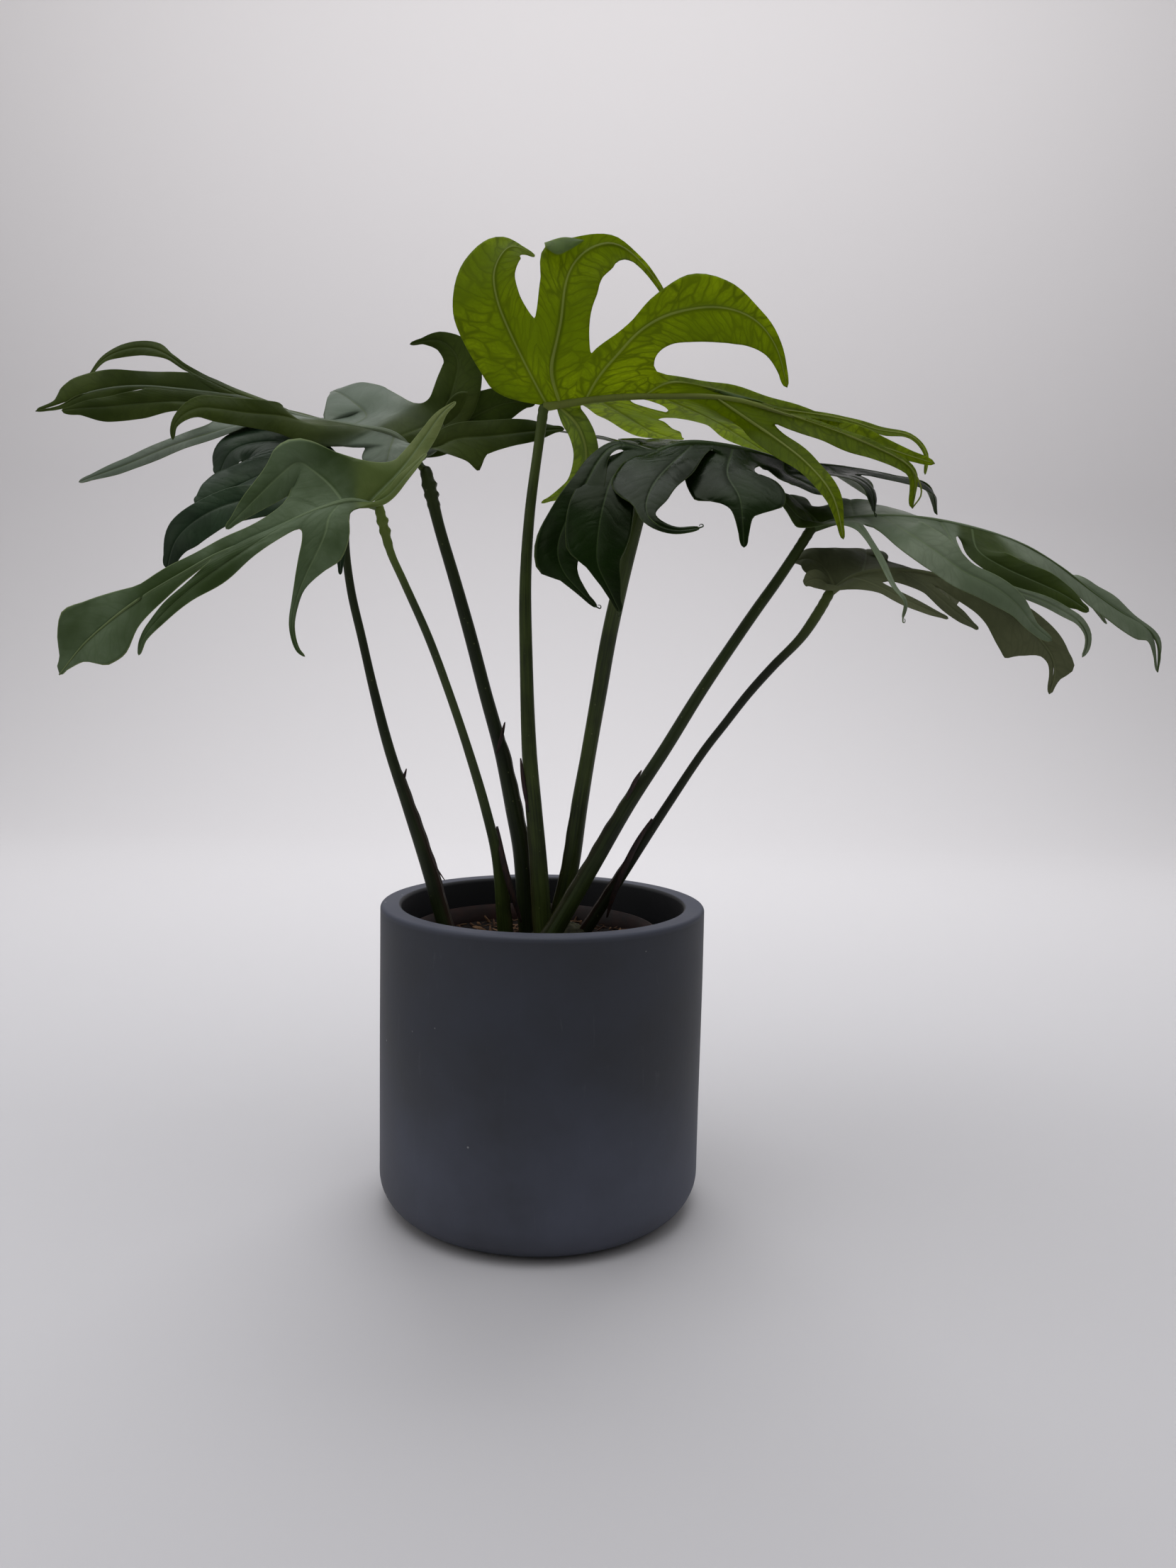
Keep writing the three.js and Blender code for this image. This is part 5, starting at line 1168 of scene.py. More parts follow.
    # Relief: the tissue is quilted between the side veins and sunk along the net, the other way
    # round below. The wax is a little rougher below.
    quilted = add(tree, "ShaderNodeMapRange", {
        "Value": from_side, "From Min": 0.0, "From Max": 4.0},
        interpolation_type="SMOOTHSTEP")
    quilted = add(tree, "ShaderNodeMath", {0: quilted, 1: 0.4}, operation="MULTIPLY")
    sunk = add(tree, "ShaderNodeMath", {0: net, 1: -0.25}, operation="MULTIPLY")
    pores = add(tree, "ShaderNodeMath", {0: grain, 1: 0.05}, operation="MULTIPLY")
    relief = add(tree, "ShaderNodeMath", {0: quilted, 1: sunk}, operation="ADD")
    relief = add(tree, "ShaderNodeMath", {0: relief, 1: pores}, operation="ADD")
    twice = add(tree, "ShaderNodeMath", {0: under, 1: 2.0}, operation="MULTIPLY")
    facing = add(tree, "ShaderNodeMath", {0: 1.0, 1: twice}, operation="SUBTRACT")
    relief = add(tree, "ShaderNodeMath", {0: relief, 1: facing}, operation="MULTIPLY")
    bump = add(tree, "ShaderNodeBump", {"Height": relief, "Distance": 0.7 * MM, "Strength": 0.28})
    rough = add(tree, "ShaderNodeMapRange", {
        "Value": wander, "From Min": 0.25, "From Max": 0.75, "To Min": gloss - 0.05,
        "To Max": gloss + 0.08}, interpolation_type="SMOOTHSTEP")
    dulled = add(tree, "ShaderNodeMath", {0: under, 1: 0.14}, operation="MULTIPLY")
    rough = add(tree, "ShaderNodeMath", {0: rough, 1: dulled}, operation="ADD")
    skin = add(tree, "ShaderNodeBsdfPrincipled", {
        "Base Color": rimmed, "Roughness": rough, "IOR": 1.4, "Specular IOR Level": 0.34,
        "Specular Tint": sRGB("#C6D4AE"), "Normal": bump})

    # Light through the leaf: the yellower tones of the tissue, shut out by the veins and the net.
    shut = add(tree, "ShaderNodeMath", {0: main_vein, 1: 0.1}, operation="MULTIPLY")
    shut_beside = add(tree, "ShaderNodeMath", {0: beside, 1: 0.4}, operation="MULTIPLY")
    shut = add(tree, "ShaderNodeMath", {0: shut, 1: shut_beside}, operation="MAXIMUM")
    shut_side = add(tree, "ShaderNodeMath", {0: side_vein, 1: 0.55 * netted}, operation="MULTIPLY")
    shut = add(tree, "ShaderNodeMath", {0: shut, 1: shut_side}, operation="MAXIMUM")
    shut = add(tree, "ShaderNodeMath", {0: shut, 1: net_shade}, operation="MAXIMUM")
    tissue = add(tree, "ShaderNodeMixRGB", {
        "Fac": patch, "Color1": sRGB(glow[0]), "Color2": sRGB(glow[1])})
    light = add(tree, "ShaderNodeMixRGB", {"Fac": shut, "Color1": tissue, "Color2": sRGB(glow[2])})
    passing = add(tree, "ShaderNodeBsdfTranslucent", {"Color": light, "Normal": bump})
    surface = add(tree, "ShaderNodeMixShader", {0: through, 1: skin, 2: passing})
    add(tree, "ShaderNodeOutputMaterial", {"Surface": surface})
    return made


def place_leaf(key, leaf, skin, seed):
    """Grows a blade and places it as the piece for its CAD solid."""
    points, faces, marks = grown_blade(leaf, seed)
    place_piece("leaf_" + key + "_grown", points, faces, skin, "leaf_" + key, "blade",
                dict(zip(LEAF_MARKS, marks.T)))


# Of each blade: half the thickness of its midrib (rib), the midrib's points, and its lobes left and
# right. Of each lobe: the share of the midrib where its vein leaves it (at), the vein's points,
# the shares of the vein that the cuts behind and before it leave joined (cut), and the half widths
# behind and before the vein (back, front), plain ones at WIDTH_SHARES or with shares of their own.
# Some also say where the front edge points (lean), how the sheet rolls (roll), that it is turned
# over (turned), that the seam before it has a hole (hole) or that the tip ends in a curl (curl).

# Leaf A. The low blade at the back left, dark and rather flat, which hangs away from the eye on
# stalk a. Leaves B and C hide most of it, and that part is a guess.
LEAF_A = dict(
    rib=3.6,
    midrib=[(-184, 655, -32), (-208, 669, -28), (-243, 673, -28), (-286, 656, -36), (-322, 641, -44)],
    left=[
        dict(at=0.03, lean=(-1, 0, 0), cut=(0.3, 0.3),
             vein=[(-187, 634, -50), (-189, 608, -53), (-190, 580, -52)],
             back=[6, 5, 4, 2], front=[8, 6, 4, 2]),
        dict(at=0.16, lean=(0, 0.4, 1), cut=(0.25, 0.3),
             vein=[(-232, 650, -46), (-272, 646, -56), (-308, 634, -60), (-338, 610, -64),
                   (-348, 582, -62)],
             back=[16, 20, 20, 9], front=[12, 15, 15, 7]),
    ],
    right=[
        dict(at=0.04, lean=(-1, 0, 0.3), cut=(0.3, 0.4),
             vein=[(-170, 668, -10), (-162, 672, 10), (-166, 668, 26)],
             back=[12, 13, 9, 3], front=[12, 12, 8, 3]),
        dict(at=0.2, cut=(0.3, 0.62),
             vein=[(-222, 692, -12), (-258, 697, -6), (-288, 688, -8), (-300, 666, -14)],
             back=[24, 26, 22, 10], front=[18, 20, 18, 9]),
    ],
    tip=dict(
        left=(0.42, 0.2, [14, 21, 17, 7]),
        right=(0.42, 0.42, [22, 25, 18, 7]),
    ),
)
# Dark satin green; the upper side is painted a little paler and bluer, a painted soft sheen of the sky.
place_leaf("a", LEAF_A, leaf_skin(
    "living leaf, waxy, dark satin", upper=("#18261B", "#30422F"), lower=("#1E2A0C", "#2C3A15"),
    vein="#5E6C58", rim="#5A6848",
    glow=("#24400A", "#305410", "#141E08"), through=0.14, gloss=0.3, plain=0.5), seed=97)

# Leaf B. The foremost blade on the left, on the thin stalk b. The eye looks along its upper side,
# a pointed lobe hangs down, and the two lobes at its base are folded up with the underside out.
LEAF_B = dict(
    rib=3.6,
    midrib=[(-155, 642, -108), (-179, 647, -116), (-206, 640, -124), (-238, 626, -130),
            (-274, 609, -136), (-306, 594, -141), (-332, 579, -144), (-358, 564, -146),
            (-381, 549, -148), (-404, 531, -149), (-425, 512, -149), (-448, 484, -146)],
    left=[
        dict(at=0.02, lean=(0, -0.5, -0.85), cut=(0.3, 0.1), turned=1,
             vein=[(-146, 652, -122), (-130, 670, -128), (-112, 690, -124)],
             back=[7, 8, 6, 3], front=[6, 7, 6, 3]),
        dict(at=0.1, cut=(0.05, 0.26),
             vein=[(-200, 632, -130), (-203, 618, -136), (-210, 602, -140), (-221, 580, -143),
                   (-231, 554, -144), (-234, 532, -143), (-229, 512, -140), (-222, 505, -137)],
             back=[(0, 6), (0.12, 17), (0.3, 20), (0.42, 12), (0.6, 3), (0.9, 2)],
             front=[(0, 17), (0.18, 13), (0.34, 8), (0.6, 3), (0.9, 2)]),
        dict(at=0.2, lean=(0.35, 0.3, 1), cut=(0.1, 0.47),
             vein=[(-251, 617, -140), (-280, 598, -146), (-306, 580, -150), (-332, 560, -153),
                   (-355, 538, -155), (-370, 519, -155), (-375, 503, -152)],
             back=[(0, 8), (0.23, 9), (0.42, 12), (0.6, 9), (0.78, 6), (0.92, 3)],
             front=[(0, 8), (0.32, 7), (0.62, 6), (0.85, 3)]),
    ],
    right=[
        dict(at=0.03, lean=(-0.6, 0.4, 0.6), cut=(0.25, 0.3), turned=1,
             vein=[(-134, 676, -96), (-112, 706, -84), (-98, 726, -78), (-86, 736, -78)],
             back=[10, 10, 7, 3], front=[10, 9, 6, 2]),
        dict(at=0.1, cut=(0.3, 0.36),
             vein=[(-198, 659, -112), (-215, 673, -106), (-228, 680, -106), (-242, 670, -112),
                   (-267, 646, -122), (-294, 619, -132)],
             back=[(0, 20), (0.2, 18), (0.4, 12), (0.7, 8), (0.92, 3)],
             front=[(0, 16), (0.2, 18), (0.4, 15), (0.7, 8), (0.92, 3)]),
    ],
    tip=dict(
        lean=(0.2, 0.3, 0.9),
        left=(0.47, 0.03, [(0, 2), (0.335, 14), (0.49, 21), (0.65, 32), (0.74, 30), (0.85, 11),
                           (0.95, 3)]),
        right=(0.22, 0.05, [(0, 10), (0.3, 12), (0.55, 11), (0.65, 18), (0.76, 29), (0.84, 38),
                            (0.9, 28), (0.96, 9)]),
    ),
)
# Grey-green above, a painted sheen of the pale sky on the wax, and yellower below.
place_leaf("b", LEAF_B, leaf_skin(
    "living leaf, waxy, grey-green", upper=("#3A4B28", "#66775A"), lower=("#5A6A32", "#7A844E"),
    vein="#7E9068", rim="#A0B070",
    glow=("#5A7C14", "#768E28", "#38500A"), through=0.22, gloss=0.4, plain=0.7), seed=98)

# Leaf C. The long blade on stalk c, behind B and seen almost edge on. Its midrib runs level to the
# left, the far lobes stand up beyond it, one of them as a dome, and the near ones hang down.
LEAF_C = dict(
    rib=4.4,
    midrib=[(-113, 676, 10), (-139, 705, 4), (-177, 713, 8), (-222, 720, 20), (-254, 729, 32),
            (-279, 736, 40), (-305, 739, 46), (-336, 742, 51), (-368, 744, 55), (-400, 741, 57),
            (-426, 734, 58), (-442, 725, 58), (-464, 720, 58)],
    left=[
        dict(at=0.02, lean=(0, -0.3, -1), cut=(0.2, 0.25), turned=1,
             vein=[(-88, 702, 12), (-56, 706, 20), (-18, 711, 28), (12, 714, 34)],
             back=[14, 16, 12, 4],
             front=[(0, 19), (0.1, 24), (0.19, 33), (0.29, 17), (0.5, 13), (0.75, 9), (0.92, 3)]),
        dict(at=0.1, cut=(0.2, 0.3),
             vein=[(-146, 690, -8), (-149, 678, -14), (-154, 668, -16)],
             back=[22, 24, 20, 10], front=[22, 24, 20, 10]),
        dict(at=0.19, lean=(0, 0.3, 1), cut=(0.2, 0.3), turned=1,
             vein=[(-216, 714, -8), (-241, 720, -14), (-273, 722, -24), (-298, 725, -30),
                   (-318, 726, -33), (-332, 719, -35), (-340, 709, -35), (-341, 697, -34)],
             back=[(0, 24), (0.15, 19), (0.41, 14), (0.6, 12), (0.76, 8), (0.92, 3)],
             front=[(0, 13), (0.15, 13), (0.41, 13), (0.6, 12), (0.76, 8), (0.92, 3)]),
        dict(at=0.36, lean=(0, 0.3, 1), cut=(0.3, 0.3),
             vein=[(-279, 712, 6), (-337, 694, 10), (-382, 675, 12), (-427, 658, 12)],
             back=[7, 8, 7, 3], front=[8, 8, 7, 3]),
        dict(at=0.5, lean=(0, 0.1, 1), cut=(0.2, 0.52), turned=1,
             vein=[(-305, 731, 42), (-337, 731, 46), (-368, 729, 50), (-400, 725, 52), (-426, 723, 53),
                   (-441, 721, 54)],
             back=[(0, 8), (0.19, 9), (0.44, 15), (0.68, 14), (0.88, 6)],
             front=[(0, 12), (0.44, 10), (0.7, 7), (0.93, 2)]),
    ],
    right=[
        dict(at=0.03, lean=(0, 0, 1), cut=(0.25, 0.3), turned=1,
             vein=[(-86, 712, 24), (-62, 727, 32), (-38, 736, 34), (-14, 737, 34)],
             back=[14, 16, 15, 5], front=[(0, 17), (0.3, 26), (0.45, 19), (0.75, 14), (0.92, 5)]),
        dict(at=0.09, cut=(0.25, 0.3), turned=1,
             vein=[(-100, 722, 24), (-88, 750, 30), (-85, 774, 32), (-100, 789, 32), (-128, 785, 30)],
             back=[(0, 22), (0.3, 26), (0.55, 20), (0.75, 8), (0.9, 3)],
             front=[(0, 18), (0.3, 17), (0.55, 13), (0.75, 9), (0.9, 2)]),
        dict(at=0.2, lean=(-1, 0, 0), cut=(0.3, 0.35),
             vein=[(-166, 722, 24), (-179, 734, 36), (-190, 741, 50), (-197, 743, 64)],
             back=[(0, 36), (0.3, 36), (0.6, 28), (0.85, 16), (0.96, 7)],
             front=[(0, 44), (0.2, 36), (0.4, 26), (0.6, 17), (0.8, 9), (0.94, 4)]),
        dict(at=0.34, lean=(-1, 0, 0), cut=(0.35, 0.4), turned=1,
             vein=[(-240, 726, 56), (-262, 720, 88), (-280, 706, 112)],
             back=[18, 19, 15, 6], front=[17, 18, 14, 6]),
        dict(at=0.48, cut=(0.3, 0.36), turned=1,
             vein=[(-327, 759, 56), (-342, 770, 62), (-358, 777, 67), (-374, 777, 70), (-390, 773, 73),
                   (-403, 766, 75), (-418, 748, 77)],
             back=[(0, 4), (0.24, 3), (0.38, 7), (0.64, 7), (0.8, 4), (0.93, 2)],
             front=[(0, 3), (0.18, 4), (0.38, 9), (0.64, 7), (0.8, 4), (0.93, 2)]),
    ],
    tip=dict(
        lean=(0, 0.25, 1), turned=1,
        left=(0.72, 0.03, [(0, 2), (0.36, 9), (0.6, 8), (0.77, 4), (0.9, 2)]),
        right=(0.6, 0.05, [(0, 17), (0.34, 15), (0.55, 19), (0.7, 21), (0.81, 16), (0.88, 5), (0.95, 3)]),
    ),
)
# The upper side is painted nearly grey, a painted reflection of the pale backdrop in the wax; below it
# is deep olive.
place_leaf("c", LEAF_C, leaf_skin(
    "living leaf, waxy, olive", upper=("#6E7A6A", "#889082"), lower=("#2C380C", "#465220"),
    vein="#5C6A38", rim="#66743A",
    glow=("#4E6E0A", "#688C12", "#202C06"), through=0.22, gloss=0.36, plain=0.5), seed=99)

# Leaf D. The top blade, thin and fresh green, on stalk d. It is tilted steeply, so that the eye
# sees its underside with the light behind it.
LEAF_D = dict(
    rib=4.4,
    midrib=[(-7, 733, 0), (46, 742, -3), (109, 745, -10), (167, 742, -20), (231, 725, -32),
            (286, 706, -42), (325, 686, -47), (336, 664, -47), (328, 650, -46)],
    left=[
        dict(at=0.03, lean=(1, 0.3, 0), cut=(0.2, 0.12), turned=1,
             vein=[(24, 716, 2), (32, 690, 6), (23, 664, 8), (-8, 648, 8)],
             back=[11, 12, 8, 2], front=[12, 12, 7, 2]),
        dict(at=0.13, cut=(0.12, 0.45), hole=0.35,
             vein=[(65, 728, 40), (88, 715, 80), (117, 706, 112)],
             back=[24, 26, 22, 9], front=[22, 24, 20, 8]),
        dict(at=0.28, cut=(0.45, 0.4),
             vein=[(142, 727, 26), (172, 710, 66), (200, 694, 96)],
             back=[22, 22, 18, 7], front=[22, 22, 18, 7]),
        dict(at=0.41, cut=(0.3, 0.25),
             vein=[(196, 713, -36), (232, 687, -60), (256, 659, -76), (267, 621, -80)],
             back=[18, 13, 8, 3], front=[12, 11, 8, 3]),
    ],
    right=[
        dict(at=0.01, cut=(0.25, 0.42),
             vein=[(-25, 772, -14), (-41, 803, -24), (-50, 825, -28), (-53, 850, -26), (-39, 871, -18),
                   (-17, 864, -6)],
             back=[38, 41, 24, 7], front=[22, 19, 17, 7]),
        dict(at=0.04, cut=(0.29, 0.21),
             vein=[(-1, 765, -22), (3, 788, -27), (7, 808, -31), (10, 838, -31), (16, 856, -28),
                   (30, 870, -24), (53, 876, -18), (77, 860, -6), (93, 841, 2), (103, 824, 6)],
             back=[(0, 21), (0.19, 22), (0.3, 28), (0.42, 14), (0.56, 7), (0.74, 4), (0.92, 3)],
             front=[(0, 31), (0.15, 25), (0.3, 29), (0.48, 26), (0.6, 21), (0.74, 6), (0.92, 3)]),
        dict(at=0.1, cut=(0.16, 0.23),
             vein=[(42, 761, -14), (60, 782, -22), (78, 801, -28), (97, 813, -32), (120, 820, -33),
                   (143, 823, -31), (167, 819, -26), (186, 808, -19), (201, 787, -11), (211, 754, -2)],
             back=[(0, 19), (0.16, 11), (0.28, 19), (0.42, 28), (0.54, 22), (0.7, 9), (0.92, 4)],
             front=[(0, 23), (0.21, 24), (0.45, 29), (0.58, 27), (0.7, 22), (0.83, 11), (0.93, 5)]),
        dict(at=0.24, cut=(0.1, 0.25), roll=(10, 60),
             vein=[(103, 756, -14), (141, 752, -14), (205, 735, -14), (270, 713, -18), (325, 696, -24),
                   (347, 690, -26)],
             back=[12, 13, 12, 5], front=[8, 9, 9, 4]),
        dict(at=0.55, cut=(0.25, 0.25),
             vein=[(263, 727, -6), (295, 718, 6), (324, 714, 8), (338, 699, 4), (338, 680, 0)],
             back=[9, 10, 8, 4], front=[7, 8, 7, 3]),
    ],
    tip=dict(
        left=(0.52, 0.2, [17, 17, 11, 6]),
        right=(0.52, 0.2, [8, 9, 8, 4]),
    ),
)
# Lit from behind, the sheet glows yellow-green; the net and the sides of the veins show darker.
place_leaf("d", LEAF_D, leaf_skin(
    "living leaf, waxy, young, backlit", upper=("#5E7448", "#74875E"), lower=("#58680E", "#6A7C16"),
    vein="#B0BA68", rim="#76882A",
    glow=("#B2C21A", "#CCDA28", "#323E04"), through=0.56, gloss=0.42, netted=0.5), seed=100)

# Leaf D's folded corner. Between its first two upper lobes the margin is folded towards the eye
# and shows its upper side: the same living sheet, between the fold's crest and its free edge.
FOLD_TOP = Line(seen([(-9, 875, -30), (8, 880, -30), (26, 878, -27)]))
FOLD_LOW = Line(seen([(-8, 871, -35), (3, 865, -37), (13, 869, -36), (26, 877, -29)]))
FOLD_ROWS = 9
FOLD_COLUMNS = 22
FOLD_THICK = 0.8
FOLD_BULGE = 1.6
fold_across = np.linspace(0, 1, FOLD_COLUMNS)
fold_points = []
fold_marks = []
fold_faces = []
for face in (0, 1):
    for row in range(FOLD_ROWS):
        down = row / (FOLD_ROWS - 1)
        spots = FOLD_TOP.at(fold_across) * (1 - down) + FOLD_LOW.at(fold_across) * down
        nearer = FOLD_THICK * face - FOLD_BULGE * math.sin(math.pi * down)
        fold_points.append(spots + np.array([0, nearer, 0]))
        fold_marks.append(np.tile([20, 40, 20, 8 * (1 - down) + 0.1, 0, 0.5], (FOLD_COLUMNS, 1)))
for row in range(FOLD_ROWS - 1):
    for k in range(FOLD_COLUMNS - 1):
        a = row * FOLD_COLUMNS + k
        b = a + FOLD_ROWS * FOLD_COLUMNS
        fold_faces.append((a, a + 1, a + 1 + FOLD_COLUMNS, a + FOLD_COLUMNS))
        fold_faces.append((b + FOLD_COLUMNS, b + 1 + FOLD_COLUMNS, b + 1, b))
place_piece("leaf_d_folded_corner", np.vstack(fold_points), fold_faces,
            bpy.data.materials["living leaf, waxy, young, backlit"], None, "blade",
            dict(zip(LEAF_MARKS, np.vstack(fold_marks).T)))

# Leaf E. The dark glossy blade on stalk e, right of the middle. Its near lobes hang down towards
# the eye in front of the stalks, and the far ones reach away level.
LEAF_E = dict(
    rib=4.6,
    midrib=[(91, 694, -60), (120, 704, -55), (168, 701, -38), (215, 690, -18), (262, 686, 4),
            (310, 679, 28), (343, 670, 44), (351, 645, 50)],
    left=[
        dict(at=0.02, lean=(0.5, 1, 0), cut=(0.2, 0.25),
             vein=[(66, 703, -14), (36, 708, 26), (6, 712, 48)],
             back=[9, 9, 8, 4], front=[10, 10, 9, 4]),
        dict(at=0.07, lean=(1, 0, 0), cut=(0.3, 0.35),
             vein=[(86, 706, -10), (80, 702, 34), (74, 690, 66)],
             back=[20, 22, 18, 6], front=[20, 22, 17, 6]),
        dict(at=0.2, cut=(0.35, 0.4),
             vein=[(140, 700, 8), (146, 694, 50), (150, 678, 82)],
             back=[19, 20, 16, 6], front=[19, 20, 16, 6]),
        dict(at=0.34, cut=(0.4, 0.4),
             vein=[(196, 690, 30), (212, 682, 70), (222, 668, 98)],
             back=[18, 19, 15, 6], front=[18, 18, 14, 6]),
        dict(at=0.5, cut=(0.4, 0.4),
             vein=[(252, 684, 40), (276, 674, 76), (292, 658, 102)],
             back=[15, 16, 13, 5], front=[14, 15, 12, 5]),
    ],
    right=[
        dict(at=0.01, lean=(1, -0.2, 0), cut=(0.12, 0.15), curl=1,
             vein=[(59, 701, -72), (44, 688, -80), (33, 667, -90), (17, 637, -98), (7, 607, -102),
                   (13, 587, -103), (29, 570, -102), (45, 555, -99)],
             back=[(0, 4), (0.08, 5), (0.22, 11), (0.42, 15), (0.61, 19), (0.72, 20), (0.8, 6),
                   (0.92, 3)],
             front=[(0, 5), (0.08, 5), (0.22, 12), (0.42, 22), (0.61, 25), (0.72, 18), (0.85, 7),
                    (0.93, 3)]),
        dict(at=0.05, lean=(1, -0.2, 0), cut=(0.2, 0.3), curl=-1,
             vein=[(60, 677, -86), (49, 649, -102), (44, 617, -112), (44, 595, -116), (55, 573, -117),
                   (66, 551, -115)],
             back=[(0, 13), (0.21, 25), (0.45, 29), (0.62, 26), (0.73, 8), (0.92, 3)],
             front=[(0, 20), (0.21, 25), (0.45, 27), (0.62, 23), (0.8, 13), (0.93, 5)]),
        dict(at=0.125, lean=(1, 0, 0), cut=(0.2, 0.05), curl=1,
             vein=[(95, 669, -98), (87, 650, -116), (88, 638, -125), (96, 631, -129), (113, 626, -130),
                   (137, 629, -128)],
             back=[(0, 20), (0.12, 30), (0.25, 35), (0.38, 34), (0.47, 26), (0.56, 9),
                   (0.72, 4), (0.92, 3)],
             front=[(0, 14), (0.2, 20), (0.35, 19), (0.52, 17), (0.68, 8), (0.9, 3)]),
        dict(at=0.24, lean=(1, 0, 0), cut=(0.05, 0.26),
             vein=[(160, 676, -68), (171, 658, -84), (175, 636, -94), (177, 612, -99)],
             back=[(0, 10), (0.07, 20), (0.25, 36), (0.46, 37), (0.57, 25), (0.7, 9), (0.9, 4)],
             front=[(0, 18), (0.25, 30), (0.46, 40), (0.57, 37), (0.7, 9), (0.9, 4)]),
        dict(at=0.4, cut=(0.2, 0.35),
             vein=[(212, 680, -30), (232, 670, -42), (253, 660, -46)],
             back=[16, 17, 14, 5], front=[14, 14, 11, 4]),
        dict(at=0.54, cut=(0.3, 0.3), curl=1,
             vein=[(258, 680, -10), (278, 675, -22), (290, 666, -28), (294, 646, -30)],
             back=[12, 12, 10, 4], front=[10, 9, 8, 3]),
    ],
    tip=dict(
        left=(0.66, 0.25, [12, 14, 11, 5]),
        right=(0.66, 0.25, [11, 13, 12, 5]),
    ),
)
# Thick clear wax over very dark green, with glints along the folds.
place_leaf("e", LEAF_E, leaf_skin(
    "living leaf, waxy, dark glossy", upper=("#091403", "#142608"), lower=("#2C3C10", "#3C4E1A"),
    vein="#62784A", rim="#8CA060",
    glow=("#264006", "#34560A", "#141E06"), through=0.12, gloss=0.25, plain=0.26), seed=101)

# Leaf F. The blade at the far right on stalk f, grey-green above. Its narrow near lobes hang in a
# row, with thin ones between them, and its tip turns down.
LEAF_F = dict(
    rib=4.2,
    midrib=[(238, 631, -8), (263, 639, -11), (298, 643, -11), (337, 642, -8), (376, 636, -3),
            (408, 628, 2), (435, 618, 6), (468, 599, 10), (498, 577, 13), (529, 557, 15),
            (552, 543, 16), (561, 525, 15), (560, 507, 14)],
    left=[
        dict(at=0.02, lean=(1, 0.5, 0), cut=(0.3, 0.35), turned=1,
             vein=[(226, 652, 16), (216, 660, 40), (212, 656, 58)],
             back=[13, 14, 11, 4], front=[13, 14, 10, 4]),
        dict(at=0.1, lean=(1, 0, 0), cut=(0.3, 0.4),
             vein=[(272, 654, 32), (272, 656, 66), (272, 646, 94)],
             back=[18, 19, 15, 6], front=[18, 19, 15, 6]),
        dict(at=0.24, cut=(0.4, 0.4),
             vein=[(336, 642, 40), (350, 634, 78), (360, 620, 106)],
             back=[18, 19, 15, 6], front=[18, 18, 14, 6]),
        dict(at=0.4, cut=(0.4, 0.4),
             vein=[(410, 618, 42), (430, 606, 76), (446, 588, 100)],
             back=[16, 17, 13, 5], front=[15, 16, 12, 5]),
        dict(at=0.55, cut=(0.4, 0.35),
             vein=[(470, 588, 44), (494, 572, 70), (510, 550, 88)],
             back=[13, 14, 11, 4], front=[12, 13, 10, 4]),
    ],
    right=[
        dict(at=0.01, lean=(0, -0.5, -1), cut=(0.3, 0.35), turned=1,
             vein=[(226, 640, -22), (214, 652, -34), (206, 660, -38)],
             back=[10, 12, 10, 4], front=[11, 12, 9, 4]),
        dict(at=0.09, cut=(0.2, 0.12), curl=1,
             vein=[(280, 634, -44), (300, 607, -78), (315, 580, -96), (326, 566, -102),
                   (324, 551, -104)],
             back=[5, 4, 3, 2], front=[5, 4, 3, 2]),
        dict(at=0.16, lean=(0.4, 0.35, 0.85), cut=(0.16, 0.12),
             vein=[(331, 625, -56), (358, 608, -72), (378, 594, -80), (404, 583, -85), (428, 566, -87),
                   (445, 546, -87), (462, 534, -86)],
             back=[(0, 13), (0.2, 19), (0.36, 17), (0.54, 16), (0.72, 13), (0.9, 6)],
             front=[(0, 13), (0.26, 17), (0.4, 13), (0.54, 11), (0.72, 10), (0.9, 4)]),
        dict(at=0.3, lean=(0.2, 0.2, 1), cut=(0.1, 0.1),
             vein=[(390, 591, -60), (423, 579, -64), (454, 569, -66), (472, 560, -66), (486, 552, -66),
                   (494, 540, -66), (494, 528, -66), (490, 519, -66)],
             back=[4, 3, 5, 3], front=[3, 3, 5, 3]),
        dict(at=0.38, lean=(0.4, 0.35, 0.85), cut=(0.12, 0.3), turned=1,
             vein=[(390, 613, -28), (416, 598, -36), (443, 587, -40), (469, 576, -40), (494, 561, -38)],
             back=[(0, 8), (0.25, 12), (0.5, 15), (0.75, 13), (0.92, 5)],
             front=[(0, 12), (0.25, 14), (0.5, 14), (0.75, 11), (0.92, 4)]),
    ],
    tip=dict(
        lean=(0, -0.6, -1),
        left=(0.62, 0.12, [(0, 9), (0.3, 13), (0.55, 7), (0.75, 7), (0.9, 3)]),
        right=(0.5, 0.2, [(0, 20), (0.26, 18), (0.46, 20), (0.65, 21), (0.8, 14), (0.92, 5)]),
    ),
)
# Like leaf C, grey-green above, a painted reflection of the backdrop in the wax, and deep green below.
place_leaf("f", LEAF_F, leaf_skin(
    "living leaf, waxy, grey-green, right", upper=("#627056", "#808C74"), lower=("#2C3A10", "#3C4C18"),
    vein="#6E8058", rim="#7C8E56",
    glow=("#32500A", "#466A12", "#1A2806"), through=0.16, gloss=0.38, plain=0.6), seed=102)

